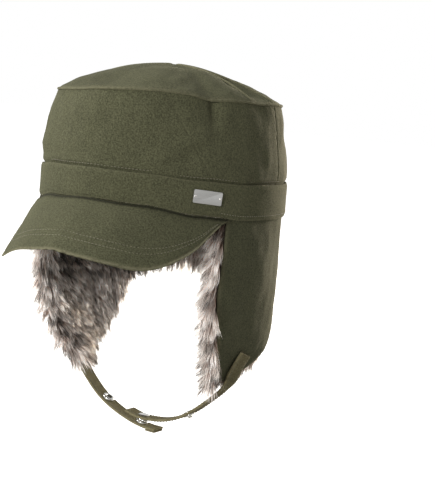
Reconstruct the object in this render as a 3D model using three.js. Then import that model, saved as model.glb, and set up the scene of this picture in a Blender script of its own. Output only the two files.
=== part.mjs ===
// A soft field cap with fur-lined ear flaps and neck flap worn down, its chin strap fastened.
// Millimetres, +Z up. The cap faces -Y and the wearer's left is +X. The origin is the middle of the
// head opening, level with the lower edge of the band at the ears.
// Angles round the cap run from the front (0) over the wearer's left (90) to the back (180).
import * as THREE from "three";

// Head opening and band
const bandLength = 216;
const bandWidth = 186;
const bandHeight = 27;
const bandWall = 2.6;
const bandFrontRise = 11;
const bandTopShare = 0.55;
const bandBackDip = 2;
const seamTuck = 4;
const seamGap = 0.3;

// Crown
const clothWall = 2;
const shoulderHeight = 87;
const shoulderFrontRise = 3;
const shoulderCornerRise = 2.5;
const shoulderInset = 6;
const shoulderTurn = 2.6;
const domeRise = 23;
const crownPuff = 2.6;
const crownPuffAngle = -66;
const crownPuffSpread = 48;
const frontPanelFootAngle = 58;
const frontPanelHeadAngle = 31;
const backPanelAngle = 98;

// Visor
const visorReach = 47.5;
const visorDrop = 37;
const visorCrown = 3;
const visorWall = 2.4;
const visorSpan = 65;
const visorFarTuck = 6;
const visorFarSag = 4;

// Ear flaps and neck flap, one wall of cloth
const curtainWall = 2.2;
const flapDrop = 131;
const neckDrop = 51;
const flapFrontAngle = 65;
const flapFrontSweep = 20;
const flapLean = 27;
const flapClosing = 3;
const flapOpening = 1;

// Fur lining
const furPile = 12;
const furBacking = 3;
const furFringe = 9;
const furFlare = 5;
const furLeftOverhangShare = 0.075;
const furRightOverhangShare = 0.1;
const furTopShare = 0.06;
const furSeat = 0.8;
const lockWidth = 22;

// Chin strap
const strapWidth = 14;
const strapWall = 2.2;
const strapSeat = 0.8;
const strapFall = 47.5;
const snapDiameter = 10;
const snapBore = 4.6;
const snapHeight = 1.8;
const snapCapWall = 1;
const snapSpacing = 38;
const snapSeatX = -3;
const snapSeatGap = 0.48;

// Metal plate on the band
const plateLength = 24;
const plateHeight = 10;
const plateWall = 1;
const plateCorner = 0.6;
const plateAngle = 53;
const plateRiseShare = 0.54;
const pinDiameter = 2;
const pinPlay = 0.05;
const pinInset = 1.5;

// Colours of the cloth, the fur and the metal
const olive = 0x5b5a45;
const oliveShade = 0x4c4c3a;
const furGrey = 0x8d8680;
const steel = 0xb9bab6;

const deg = Math.PI / 180;
const halfLength = bandLength / 2;
const halfWidth = bandWidth / 2;
const crownHalfLength = halfLength - bandWall - seamGap;
const crownHalfWidth = halfWidth - bandWall - seamGap;
const apexHeight = shoulderHeight + domeRise;

const mix = (a, b, t) => a + (b - a) * t;
const clamp = (x, low, high) => Math.min(high, Math.max(low, x));
const smooth = (t) => clamp(t, 0, 1) ** 2 * (3 - 2 * clamp(t, 0, 1));
const bump = (x, middle, spread) => Math.exp(-(((x - middle) / spread) ** 2));

// Even steps from one value to another, both ends included.
function steps(from, to, count) {
  return Array.from({ length: count + 1 }, (_, i) => mix(from, to, i / count));
}

// Angle from the front, the same on both sides of the cap, 0 to 180.
function fold(angle) {
  const turned = ((angle % 360) + 360) % 360;
  return turned > 180 ? 360 - turned : turned;
}

// A value read from a table of rows by straight or rounded steps between them.
function read(table, key, value, x, rounded = true) {
  let i = 0;
  while (i < table.length - 2 && x > table[i + 1][key]) i += 1;
  const t = clamp((x - table[i][key]) / (table[i + 1][key] - table[i][key]), 0, 1);
  return mix(table[i][value], table[i + 1][value], rounded ? smooth(t) : t);
}

function onEllipse(a, b, angle, z) {
  return new THREE.Vector3(b * Math.sin(angle * deg), -a * Math.cos(angle * deg), z);
}

// Heights of the band's edges round the cap.
const bandEdges = [
  { angle: 0, rise: 1, dip: 0 },
  { angle: 25, rise: 0.86, dip: 0 },
  { angle: 50, rise: 0.36, dip: 0 },
  { angle: 75, rise: 0, dip: 0 },
  { angle: 120, rise: 0, dip: 0.5 },
  { angle: 180, rise: 0, dip: 1 },
];

function bandLow(angle) {
  return read(bandEdges, "angle", "rise", fold(angle)) * bandFrontRise - bandBackDip;
}

function bandTop(angle) {
  const rise = read(bandEdges, "angle", "rise", fold(angle)) * bandFrontRise * bandTopShare;
  const dip = read(bandEdges, "angle", "dip", fold(angle)) * bandBackDip;
  return bandHeight - bandBackDip + rise - dip;
}

// Height of the crown's shoulder round the cap: it rises at its left front corner and sinks at its
// right one, which lies further round.
const cornerSpread = 26;
const rightCornerShare = 1.6;
const rightCornerSink = 1.3;

function shoulderZ(angle) {
  const signed = ((angle + 180) % 360) - 180;
  const leftCorner = bump(signed, frontPanelHeadAngle, cornerSpread);
  const rightCorner = bump(signed, -frontPanelHeadAngle * rightCornerShare, cornerSpread);
  const front = shoulderFrontRise * Math.cos(angle * deg);
  return shoulderHeight + front + shoulderCornerRise * (leftCorner - rightCornerSink * rightCorner);
}

// Soft dents in the crown, pressed in: heights are shares of the shoulder's height, depths of the
// dome's rise, and spans are in degrees and in shares of the same height.
const crownDents = [
  { angle: 54, height: 0.95, spanAngle: 7, spanHeight: 0.2, depth: 0.14 },
  { angle: 61, height: 0.75, spanAngle: 9, spanHeight: 0.3, depth: 0.05 },
  { angle: -20, height: 0.97, spanAngle: 12, spanHeight: 0.14, depth: 0.07 },
  { angle: 84, height: 0.92, spanAngle: 7, spanHeight: 0.14, depth: 0.07 },
  { angle: 130, height: 0.86, spanAngle: 16, spanHeight: 0.25, depth: 0.08 },
  { angle: -75, height: 0.9, spanAngle: 10, spanHeight: 0.22, depth: 0.09 },
  { angle: -130, height: 0.88, spanAngle: 14, spanHeight: 0.22, depth: 0.08 },
];

// How much of a dent the dome takes, and how fast it fades towards the middle.
const domeDentShare = 0.7;
const domeDentReach = 0.6;

function dentDepth(angle, height) {
  let sum = 0;
  for (const d of crownDents) {
    const off = ((angle - d.angle + 540) % 360) - 180;
    sum += d.depth * domeRise * bump(off, 0, d.spanAngle) * bump(height, d.height, d.spanHeight);
  }
  return sum;
}

// Height of the dome's rim, which the wall's head follows.
function rimZ(angle) {
  return shoulderZ(angle) - dentDepth(angle, 1) * domeDentShare;
}

// Shares of the wall's height where the swell starts, how fast it comes and where it fades.
const puffFoot = 0.1;
const puffRun = 0.2;
const puffHead = 0.6;

// How far the wall swells out over the band on the wearer's right, between its foot and its head.
function puff(angle, climb) {
  const off = ((angle - crownPuffAngle + 540) % 360) - 180;
  const rise = smooth((climb - puffFoot) / puffRun);
  const fall = 1 - smooth((climb - puffHead) / (1 - puffHead));
  return crownPuff * bump(off, 0, crownPuffSpread) * rise * fall;
}

// Outer face of the crown's wall: t is 0 at its foot behind the band and 1 under the dome.
function crownWall(angle, t) {
  const top = rimZ(angle) - clothWall - 2 * seamGap;
  const z = mix(bandTop(angle) - seamTuck, top, t);
  const climb = clamp((z - bandTop(angle)) / (top - bandTop(angle)), 0, 1);
  const turn = shoulderInset * climb ** shoulderTurn;
  const inset = turn + dentDepth(angle, z / shoulderHeight) * climb - puff(angle, climb);
  return onEllipse(crownHalfLength - inset, crownHalfWidth - inset, angle, z);
}

// How full the dome is in each direction: high is full to the edge, low is a straight slope.
const domeFullness = [
  { angle: 0, fullness: 2.2 },
  { angle: 45, fullness: 2.2 },
  { angle: 54, fullness: 1.95 },
  { angle: 62, fullness: 2.3 },
  { angle: 76, fullness: 2.2 },
  { angle: 88, fullness: 1.25 },
  { angle: 97, fullness: 1.7 },
  { angle: 130, fullness: 1.45 },
  { angle: 180, fullness: 1.7 },
  { angle: 235, fullness: 1.6 },
  { angle: 262, fullness: 1.9 },
  { angle: 300, fullness: 2.2 },
  { angle: 329, fullness: 2.0 },
  { angle: 360, fullness: 2.2 },
];

// Outer face of the dome: rho is 1 at the shoulder and 0 at the middle.
function dome(angle, rho) {
  const turned = ((angle % 360) + 360) % 360;
  const fullness = read(domeFullness, "angle", "fullness", turned, false);
  const fall = apexHeight - shoulderZ(angle);
  const sag = dentDepth(angle, 1 + (1 - rho) * domeDentReach) * rho * domeDentShare;
  const z = apexHeight - fall * rho ** fullness - sag;
  const inset = shoulderInset + dentDepth(angle, 1) * rho;
  return onEllipse((crownHalfLength - inset) * rho, (crownHalfWidth - inset) * rho, angle, z);
}

// Outer face of the band.
function bandFace(angle, t) {
  return onEllipse(halfLength, halfWidth, angle, mix(bandLow(angle), bandTop(angle), t));
}

// Outline and fall of the visor's free edge: side runs from the middle to the corner.
const visorEdge = [
  { side: 0, reach: 1, width: 0, drop: 0.93 },
  { side: 0.1, reach: 0.99, width: 0.2, drop: 0.99 },
  { side: 0.2, reach: 0.956, width: 0.378, drop: 1.045 },
  { side: 0.3, reach: 0.9, width: 0.52, drop: 1.105 },
  { side: 0.4, reach: 0.828, width: 0.639, drop: 1.17 },
  { side: 0.5, reach: 0.73, width: 0.745, drop: 1.175 },
  { side: 0.6, reach: 0.623, width: 0.83, drop: 1.1 },
  { side: 0.7, reach: 0.49, width: 0.9, drop: 0.95 },
  { side: 0.8, reach: 0.351, width: 0.948, drop: 0.76 },
  { side: 0.9, reach: 0.192, width: 0.977, drop: 0.47 },
  { side: 1, reach: 0, width: 0.99, drop: 0.2 },
];

// How much of the far side's tuck and sag each place across the visor takes.
const visorFarShare = [
  { side: -1, tuck: 0.35, sag: 0 },
  { side: -0.9, tuck: 0.7, sag: 0 },
  { side: -0.7, tuck: 1, sag: 0.35 },
  { side: -0.4, tuck: 0, sag: 1 },
  { side: -0.15, tuck: 0, sag: 0 },
  { side: 1, tuck: 0, sag: 0 },
];

// Upper face of the visor: side is -1 to 1 across it and out is 0 at the band, 1 at its edge.
function visorFace(side, out) {
  const s = Math.abs(side);
  const rootInset = bandWall / 2;
  const root = onEllipse(halfLength - rootInset, halfWidth - rootInset, side * visorSpan, 0);
  root.z = bandLow(side * visorSpan) - seamGap;
  const corner = onEllipse(halfLength, halfWidth, visorSpan, 0);
  const edge = new THREE.Vector3(
    Math.sign(side) * corner.x * read(visorEdge, "side", "width", s, false),
    mix(corner.y, -halfLength - visorReach, read(visorEdge, "side", "reach", s, false)),
    bandLow(0) - visorDrop * read(visorEdge, "side", "drop", s, false),
  );
  edge.x += visorFarTuck * read(visorFarShare, "side", "tuck", side);
  edge.z -= visorFarSag * read(visorFarShare, "side", "sag", side);
  const point = root.lerp(edge, out);
  point.z += visorCrown * Math.sin(out * Math.PI) * (1 - s * s);
  return point;
}

// Lower edge of the flap wall: the drop goes from the ear flap's tip up to the neck flap.
const curtainHem = [
  { angle: 84, drop: 0 },
  { angle: 93, drop: 0 },
  { angle: 97, drop: 0.06 },
  { angle: 107, drop: 0.19 },
  { angle: 115, drop: 0.3 },
  { angle: 120, drop: 0.43 },
  { angle: 125, drop: 0.6 },
  { angle: 129, drop: 0.78 },
  { angle: 137, drop: 0.94 },
  { angle: 150, drop: 1 },
  { angle: 180, drop: 1 },
];

function hemZ(angle) {
  return -mix(flapDrop, neckDrop, read(curtainHem, "angle", "drop", fold(angle), false));
}

// Where down the flap its front edge starts to sweep back, and how the flaps lean in to the neck:
// the angle where they lean most, and the spread of the lean in front of it and behind it.
const sweepStart = 0.45;
const sweepTurn = 1.4;
const leanTurn = 2.6;
const leanAngle = 80;
const leanSpreadFront = 38;
const leanSpreadBack = 29;
const waistAngle = 125;
const waistSpread = 30;
const sideBlend = 0.2;

// Outer face of the flaps and neck: along runs from one front edge (-1) over the back (0) to the
// other (1), and down is 0 behind the band and 1 at the hem. depth moves the face inwards.
function curtainFace(along, down, depth = 0, reachPast = 0) {
  const back = 1 - Math.abs(along);
  const topAngle = mix(flapFrontAngle, 180, back);
  const hemAngle = topAngle + flapFrontSweep * (1 - back) ** 2;
  const sweep = clamp((down - sweepStart) / (1 - sweepStart), 0, 1) ** sweepTurn;
  const angle = mix(topAngle, hemAngle, sweep);
  const top = bandLow(angle) + seamTuck;
  const z = mix(top, hemZ(hemAngle) - reachPast, down);
  const low = clamp(-z / flapDrop, 0, 1.2);
  const leanSpread = angle > leanAngle ? leanSpreadBack : leanSpreadFront;
  const lean = flapLean * low ** leanTurn * bump(angle, leanAngle, leanSpread);
  const left = smooth((along + sideBlend) / (2 * sideBlend));
  const closing = mix(flapClosing, -flapOpening, left);
  const waist = closing * smooth(2 * low) * bump(angle, waistAngle, waistSpread);
  const halfX = crownHalfWidth - lean - waist - depth;
  const halfY = crownHalfLength - waist - depth;
  const point = onEllipse(halfY, halfX, angle, z);
  point.x *= Math.sign(along) || 1;
  return point;
}

// A closed sheet between an outer and an inner face, each given as a function of two parameters.
function sheet(outerAt, innerAt, us, vs, wraps = false) {
  const points = [];
  const rows = us.length;
  const columns = vs.length;
  for (const face of [outerAt, innerAt])
    for (const u of us) for (const v of vs) points.push(face(u, v));
  const at = (side, i, j) => side * rows * columns + (i % rows) * columns + j;
  const corners = [];
  const quad = (a, b, c, d) => corners.push(a, b, c, a, c, d);
  const last = wraps ? rows : rows - 1;
  for (let i = 0; i < last; i += 1) {
    for (let j = 0; j < columns - 1; j += 1) {
      quad(at(0, i, j), at(0, i + 1, j), at(0, i + 1, j + 1), at(0, i, j + 1));
      quad(at(1, i, j), at(1, i, j + 1), at(1, i + 1, j + 1), at(1, i + 1, j));
    }
    quad(at(0, i, 0), at(1, i, 0), at(1, i + 1, 0), at(0, i + 1, 0));
    const k = columns - 1;
    quad(at(0, i, k), at(0, i + 1, k), at(1, i + 1, k), at(1, i, k));
  }
  if (!wraps)
    for (let j = 0; j < columns - 1; j += 1) {
      quad(at(0, 0, j), at(0, 0, j + 1), at(1, 0, j + 1), at(1, 0, j));
      const k = rows - 1;
      quad(at(0, k, j), at(1, k, j), at(1, k, j + 1), at(0, k, j + 1));
    }
  return solidFrom(points, corners);
}

// A geometry from points and triangle corners, with like points joined and empty triangles dropped.
function solidFrom(points, corners) {
  const kept = new Map();
  const positions = [];
  const index = points.map((p) => {
    const key = [p.x, p.y, p.z].map((c) => Math.round(c * 500)).join();
    if (!kept.has(key)) {
      kept.set(key, positions.length / 3);
      positions.push(p.x, p.y, p.z);
    }
    return kept.get(key);
  });
  const triangles = [];
  for (let i = 0; i < corners.length; i += 3) {
    const [a, b, c] = [index[corners[i]], index[corners[i + 1]], index[corners[i + 2]]];
    if (a !== b && b !== c && c !== a) triangles.push(a, b, c);
  }
  const geometry = new THREE.BufferGeometry();
  geometry.setAttribute("position", new THREE.Float32BufferAttribute(positions, 3));
  geometry.setIndex(triangles);
  geometry.computeVertexNormals();
  return geometry;
}

// The face that lies a wall's thickness inside another.
function inside(face, wall) {
  const e = 1e-3;
  return (u, v) => {
    const p = face(u, v);
    const du = face(u + e, v).sub(face(u - e, v));
    const dv = face(u, v + e).sub(face(u, v - e));
    return p.addScaledVector(du.cross(dv).normalize(), -wall);
  };
}

const cap = new THREE.Group();
const cloth = (color) => new THREE.MeshStandardMaterial({ color, roughness: 0.95, metalness: 0 });
const metal = () => new THREE.MeshStandardMaterial({ color: steel, roughness: 0.35, metalness: 1 });
const fur = () => new THREE.MeshStandardMaterial({ color: furGrey, roughness: 1, metalness: 0 });

function add(name, geometry, material) {
  const mesh = new THREE.Mesh(geometry, material);
  mesh.name = name;
  cap.add(mesh);
  return mesh;
}

// Crown
function addCrown() {
  const frontEdge = (t) => mix(frontPanelFootAngle, frontPanelHeadAngle, t);
  const split = (seamGap / halfWidth / deg) * 0.6;
  const panels = [
    ["crown_front", (t) => -frontEdge(t), frontEdge, 16],
    ["crown_side_left", frontEdge, () => backPanelAngle, 14],
    ["crown_back", () => backPanelAngle, () => 360 - backPanelAngle, 20],
    ["crown_side_right", () => 360 - backPanelAngle, (t) => 360 - frontEdge(t), 14],
  ];
  for (const [name, start, end, count] of panels) {
    const face = (u, t) => crownWall(mix(start(t) + split, end(t) - split, u), t);
    add(name, sheet(face, inside(face, clothWall), steps(0, 1, count), steps(0, 1, 7)), cloth(olive));
  }
  const rings = [1, 0.95, 0.85, 0.7, 0.5, 0.28, 0];
  const under = (u, v) => dome(u, v).sub(new THREE.Vector3(0, 0, clothWall));
  const roof = sheet((u, v) => dome(u, v), under, steps(0, 355, 71), rings, true);
  add("crown_top", roof, cloth(olive));
}

// Band
function addBand() {
  const face = (u, v) => bandFace(u, v);
  const lining = (u, v) => {
    const z = bandFace(u, v).z;
    return onEllipse(halfLength - bandWall, halfWidth - bandWall, u, z);
  };
  add("band", sheet(face, lining, steps(0, 354, 59), steps(0, 1, 1), true), cloth(olive));
}

// Visor
function addVisor() {
  const under = (u, v) => visorFace(u, v).sub(new THREE.Vector3(0, 0, visorWall));
  const across = steps(-0.995, 0.995, 28);
  const face = (u, v) => visorFace(u, 1 - v);
  const below = (u, v) => under(u, 1 - v);
  add("visor", sheet(face, below, across, steps(0, 1, 6)), cloth(olive));
}

// Ear flaps and neck flap
function addCurtain() {
  const outer = (u, v) => curtainFace(u, 1 - v);
  const inner = (u, v) => curtainFace(u, 1 - v, curtainWall);
  add("flap_curtain", sheet(inner, outer, steps(-1, 1, 34), steps(0, 1, 9)), cloth(oliveShade));
}

// How high a lock stands from its root to its tip, and from its edge over its middle.
const lockRise = [0.15, 0.55, 0.85, 1];
const lockBow = [0.35, 1, 0.9];
const lockFoot = 0.45;

// Fur lining: overlapping locks that grow from a backing behind the cloth. It runs between two
// places along the flap wall, and past the wall's free edges by a fringe.
function addFur(name, from, to, rows, overhang = furLeftOverhangShare) {
  const halfRound = ((Math.PI * (halfLength + halfWidth)) / 2) * (1 - flapFrontAngle / 180);
  const arc = Math.abs(to - from) * halfRound;
  const locks = Math.max(1, Math.round(arc / lockWidth));
  const us = steps(0, 1, locks * lockBow.length);
  const vs = steps(0, 1, rows * lockRise.length);
  const fringe = (along, v, column) => {
    const corner = smooth((Math.abs(along) - 1) / overhang + 0.4);
    return furFringe * v ** 3 * (column % 2 ? 0.7 : 1) * (1 - 0.8 * corner);
  };
  const place = (u, v, depth, spread) => {
    const along = mix(from, to, u);
    const flare = spread * clamp((Math.abs(along) - 1) / overhang, 0, 1) * smooth(v / 0.4);
    const reach = fringe(along, v, Math.floor(u * locks));
    return curtainFace(along, mix(furTopShare, 1, v), depth - flare, reach);
  };
  const back = curtainWall + furSeat;
  const backing = (u, v) => place(u, v, back, furFlare);
  const pile = (u, v) => {
    const i = Math.round(u * locks * lockBow.length);
    const j = Math.round(v * rows * lockRise.length) + (Math.floor(i / lockBow.length) % 2) * 2;
    const lock = lockRise[j % lockRise.length] * lockBow[i % lockBow.length];
    const side = 1 + overhang - Math.abs(mix(from, to, u));
    const edge = Math.min(1, 0.35 + 4 * Math.min(1 - v, v + 0.1, side));
    const height = mix(lockFoot, 1, lock);
    return place(u, v, back + mix(furBacking, furPile, height) * edge, 0);
  };
  const outer = (u, v) => pile(u, 1 - v);
  const inner = (u, v) => backing(u, 1 - v);
  add(name, sheet(outer, inner, us, vs), fur());
}

// Places on the flap where the strap is sewn down: along the flap wall and down it.
const strapSewn = [
  { along: 0.825, down: 0.882 },
  { along: 0.86, down: 0.925 },
  { along: 0.883, down: 0.965 },
];

// The free run of the left strap, from the flap's tip to its end: x as a share of half the band's
// width, y of the strap's width and z of its fall below the flap's tip.
const leftRun = [
  { x: 0.75, y: 0.321, z: 0.03 },
  { x: 0.684, y: 0.25, z: 0.203 },
  { x: 0.566, y: 0.143, z: 0.418 },
  { x: 0.459, y: 0.071, z: 0.59 },
  { x: 0.355, y: -0.071, z: 0.718 },
  { x: 0.242, y: -0.143, z: 0.801 },
  { x: 0.144, y: -0.143, z: 0.838 },
  { x: -0.031, y: -0.143, z: 0.838 },
  { x: -0.17, y: -0.143, z: 0.767 },
];

// The free run of the right strap, which passes under the left one.
const rightRun = [
  { x: -0.688, y: 0.321, z: 0.203 },
  { x: -0.58, y: 0.214, z: 0.429 },
  { x: -0.442, y: 0.071, z: 0.639 },
  { x: -0.261, y: -0.143, z: 0.805 },
  { x: -0.103, y: -0.143, z: 0.929 },
  { x: 0.025, y: -0.143, z: 0.989 },
  { x: 0.141, y: -0.143, z: 1.008 },
];

// A strap half as a curve with the direction of its width and its upper face's normal.
function strapPath(side, run) {
  const lift = strapSeat + strapWall / 2;
  const sewn = strapSewn.map((r) => curtainFace(side * r.along, r.down, -lift));
  const at = (r) => new THREE.Vector3(r.x * halfWidth, r.y * strapWidth, -flapDrop - r.z * strapFall);
  const free = run.map(at);
  const curve = new THREE.CatmullRomCurve3([...sewn, ...free], false, "centripetal");
  const leave = sewn.length / (sewn.length + free.length - 1);
  const flapNormal = (t) => {
    const r = strapSewn[Math.round(clamp(t / leave, 0, 1) * (strapSewn.length - 1))];
    const e = 1e-3;
    const p = curtainFace(side * r.along, r.down);
    const across = curtainFace(side * (r.along + e), r.down).sub(p);
    const down = curtainFace(side * r.along, r.down + e).sub(p);
    const normal = across.cross(down).normalize();
    return normal.x * side > 0 ? normal.negate() : normal;
  };
  const frame = (t) => {
    const middle = curve.getPointAt(t);
    const tangent = curve.getTangentAt(t);
    const free = smooth((t - leave * 0.55) / 0.12);
    const level = new THREE.Vector3(0, side, 0);
    const flat = new THREE.Vector3().crossVectors(tangent, flapNormal(t)).normalize();
    if (flat.y * side < 0) flat.negate();
    const width = flat.lerp(level, free);
    width.addScaledVector(tangent, -width.dot(tangent)).normalize();
    const up = new THREE.Vector3().crossVectors(width, tangent).normalize();
    if (up.z < 0 && free > 0.5) up.negate();
    if (free <= 0.5 && up.x * side > 0) up.negate();
    return { middle, tangent, width, up };
  };
  return { frame };
}

// A strap half as a flat tape of cloth.
function addStrap(name, path) {
  const at = (t, v, lift) => {
    const f = path.frame(t);
    return f.middle.clone().addScaledVector(f.width, v * strapWidth * 0.5).addScaledVector(f.up, lift);
  };
  const upper = (t, v) => at(t, v, strapWall / 2);
  const lower = (t, v) => at(t, v, -strapWall / 2);
  const ts = steps(1, 0, 34);
  add(name, sheet(upper, lower, ts, [-1, 1]), cloth(olive));
}

// The place on a strap half where it crosses a given x.
function strapFrameAt(path, x) {
  let best = path.frame(1);
  for (const t of steps(0, 1, 400)) {
    const f = path.frame(t);
    if (Math.abs(f.middle.x - x) < Math.abs(best.middle.x - x)) best = f;
  }
  return best;
}

// The place on a strap half that lies nearest to a line.
function strapFrameOn(path, line) {
  let best = path.frame(1);
  const foot = new THREE.Vector3();
  const miss = (f) => line.closestPointToPoint(f.middle, false, foot).distanceTo(f.middle);
  for (const t of steps(0.5, 1, 300)) {
    const f = path.frame(t);
    if (miss(f) < miss(best)) best = f;
  }
  return best;
}

// A turned metal piece that stands on a face: profile rows are radius and height above it.
function addTurned(name, frame, up, start, profile) {
  const points = profile.map(([r, h]) => new THREE.Vector2(r, h));
  const mesh = add(name, new THREE.LatheGeometry(points, 16), metal());
  mesh.quaternion.setFromUnitVectors(new THREE.Vector3(0, 1, 0), up);
  mesh.position.copy(frame.middle).addScaledVector(up, start);
  return mesh;
}

function addSnaps(left, right) {
  const r = snapDiameter / 2;
  const bore = snapBore / 2;
  const face = strapWall / 2 + seamGap;
  const socket = [
    [bore, 0],
    [r, 0],
    [r, snapHeight * 0.6],
    [r * 0.86, snapHeight],
    [bore * 1.25, snapHeight],
    [bore, snapHeight * 0.75],
    [bore, 0],
  ];
  const stud = [
    [0, 0],
    [r * 0.86, 0],
    [r * 0.86, snapHeight * 0.35],
    [bore * 0.72, snapHeight * 0.5],
    [bore * 0.8, snapHeight * 1.25],
    [bore * 0.5, snapHeight * 1.45],
    [0, snapHeight * 1.45],
  ];
  const capDisc = [
    [0, 0],
    [r * 0.9, 0],
    [r * 0.9, snapCapWall * 0.5],
    [r * 0.55, snapCapWall],
    [0, snapCapWall],
  ];
  const open = strapFrameAt(right, -snapSpacing);
  const closed = strapFrameAt(right, snapSeatX);
  const axis = new THREE.Line3(closed.middle, closed.middle.clone().add(closed.up));
  const closedLeft = strapFrameOn(left, axis);
  const free = strapFrameAt(left, snapSpacing);
  addTurned("snap_socket_open", open, open.up, face, socket);
  addTurned("snap_cap_open", open, open.up.clone().negate(), face, capDisc);
  addTurned("snap_socket_closed", closed, closed.up, face, socket);
  addTurned("snap_cap_closed", closed, closed.up.clone().negate(), face, capDisc);
  const seated = face + snapSeatGap;
  addTurned("snap_stud_closed", closedLeft, closed.up.clone().negate(), seated, stud);
  addTurned("snap_cap_inner", closedLeft, closedLeft.up, face + seamGap, capDisc);
  addTurned("snap_stud_free", free, free.up.clone().negate(), face, stud);
  addTurned("snap_cap_free", free, free.up, face, capDisc);
}

// Metal plate with notched corners, and the two flush pins through it that fix it to the band.
function addPlate() {
  const [w, h, c] = [plateLength / 2, plateHeight / 2, plateCorner];
  const outline = new THREE.Shape();
  outline.moveTo(-w + c, -h);
  outline.lineTo(w - c, -h);
  outline.absarc(w, -h, c, Math.PI, Math.PI / 2, true);
  outline.lineTo(w, h - c);
  outline.absarc(w, h, c, -Math.PI / 2, -Math.PI, true);
  outline.lineTo(-w + c, h);
  outline.absarc(-w, h, c, 0, -Math.PI / 2, true);
  outline.lineTo(-w, -h + c);
  outline.absarc(-w, -h, c, Math.PI / 2, 0, true);
  for (const end of [-1, 1]) {
    const hole = new THREE.Path();
    hole.absarc(end * (w - pinInset), 0, pinDiameter / 2 + pinPlay, 0, 2 * Math.PI, true);
    outline.holes.push(hole);
  }
  const settings = { depth: plateWall, bevelEnabled: false, curveSegments: 4 };
  const seat = bandFace(plateAngle, plateRiseShare);
  const outward = new THREE.Vector3(seat.x / halfWidth ** 2, seat.y / halfLength ** 2, 0).normalize();
  const holder = new THREE.Group();
  holder.position.copy(seat).addScaledVector(outward, seamGap);
  const turn = new THREE.Matrix4().makeBasis(
    new THREE.Vector3(-outward.y, outward.x, 0),
    new THREE.Vector3(0, 0, 1),
    outward,
  );
  holder.quaternion.setFromRotationMatrix(turn);
  cap.add(holder);
  const plate = new THREE.Mesh(new THREE.ExtrudeGeometry(outline, settings), metal());
  plate.name = "name_plate";
  holder.add(plate);
  for (const [name, end] of [["plate_pin_front", -1], ["plate_pin_rear", 1]]) {
    const pinLength = plateWall - 2 * pinPlay;
    const shank = new THREE.CylinderGeometry(pinDiameter / 2, pinDiameter / 2, pinLength, 8);
    shank.rotateX(Math.PI / 2);
    const pin = new THREE.Mesh(shank, metal());
    pin.name = name;
    pin.position.set(end * (w - pinInset), 0, plateWall / 2);
    holder.add(pin);
  }
}

addCrown();
addBand();
addVisor();
addCurtain();
addFur("fur_left", 0.42, 1 + furLeftOverhangShare, 4);
addFur("fur_right", -1 - furRightOverhangShare, -0.42, 4, furRightOverhangShare);
addFur("fur_neck", -0.415, 0.415, 2);
const leftStrap = strapPath(1, leftRun);
const rightStrap = strapPath(-1, rightRun);
addStrap("strap_left", leftStrap);
addStrap("strap_right", rightStrap);
addSnaps(leftStrap, rightStrap);
addPlate();

export default cap;
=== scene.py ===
"""A soft field cap of olive wool-blend cloth, its fur-lined ear flaps and neck flap worn down.

Metres, +Z up. The cap faces -Y and the wearer's left is +X. The pattern's sizes are named in
millimetres and become metres when a mesh is made. Angles round the cap run from the front (0)
over the wearer's left (90) to the back (180).
"""

from math import cos, pi, radians, sin

import bmesh
import bpy
import numpy as np
from mathutils import Matrix, Vector
from mathutils.kdtree import KDTree


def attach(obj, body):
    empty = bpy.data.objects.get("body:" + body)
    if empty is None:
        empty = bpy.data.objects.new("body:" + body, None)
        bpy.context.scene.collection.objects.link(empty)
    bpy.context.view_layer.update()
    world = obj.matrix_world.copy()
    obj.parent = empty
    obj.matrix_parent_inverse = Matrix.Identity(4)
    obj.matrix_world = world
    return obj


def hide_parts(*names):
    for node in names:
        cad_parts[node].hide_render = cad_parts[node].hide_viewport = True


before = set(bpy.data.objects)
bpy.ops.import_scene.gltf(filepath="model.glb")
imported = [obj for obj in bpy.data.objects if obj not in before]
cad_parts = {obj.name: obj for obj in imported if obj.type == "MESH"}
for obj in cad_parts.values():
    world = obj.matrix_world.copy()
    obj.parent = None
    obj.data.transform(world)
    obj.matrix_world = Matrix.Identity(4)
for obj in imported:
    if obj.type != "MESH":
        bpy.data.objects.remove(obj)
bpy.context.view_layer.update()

MM = 0.001
# A short step along a surface, to read its slope
NEAR = 1e-3

# Head opening and band
BAND_LENGTH = 216
BAND_WIDTH = 186
BAND_HEIGHT = 27
BAND_WALL = 2.6
BAND_FRONT_RISE = 11
BAND_TOP_SHARE = 0.55
BAND_BACK_DIP = 2
SEAM_TUCK = 4
HEM_STITCH_RISE = 3.4
HEM_STITCH_ANGLE = 60
SEAM_GAP = 0.3

# Crown
CLOTH_WALL = 2
SHOULDER_HEIGHT = 87
SHOULDER_FRONT_RISE = 3
SHOULDER_CORNER_RISE = 2.5
SHOULDER_CORNER_SPREAD = 26
SHOULDER_RIGHT_SINK = 1.3
SHOULDER_RIGHT_TURN = 1.6
SHOULDER_INSET = 6
SHOULDER_TURN = 2.6
DOME_RISE = 23
CROWN_PUFF = 2.6
CROWN_PUFF_ANGLE = -66
CROWN_PUFF_SPREAD = 48
PUFF_FOOT = 0.1
PUFF_RUN = 0.2
PUFF_HEAD = 0.6
PANEL_TUCK = 1.018
WALL_BLOUSE = 1.8
BLOUSE_FOOT = 0.07
BLOUSE_FULL = 0.1
BLOUSE_RUN = 0.5
FOOT_STITCH_RISE = 2.4
WELT_RADIUS = 1
WELT_INSET = 0.15
WELT_DROP = 1
FRONT_PANEL_FOOT = 58
FRONT_PANEL_HEAD = 31
BACK_PANEL_ANGLE = 98

# Visor
VISOR_REACH = 47.5
VISOR_DROP = 37
VISOR_CROWN = 3
VISOR_WALL = 2.4
VISOR_SPAN = 65
VISOR_GROOVE = 1.3
VISOR_GROOVE_LINE = 2.7
VISOR_GROOVE_REACH = 1.2
VISOR_SHADOW_LINE = 1.5
VISOR_SHADOW_REACH = 1.1
VISOR_STITCH_ROWS = (0.722, 0.805)
VISOR_FAR_TUCK = 6
VISOR_FAR_SAG = 4

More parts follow.
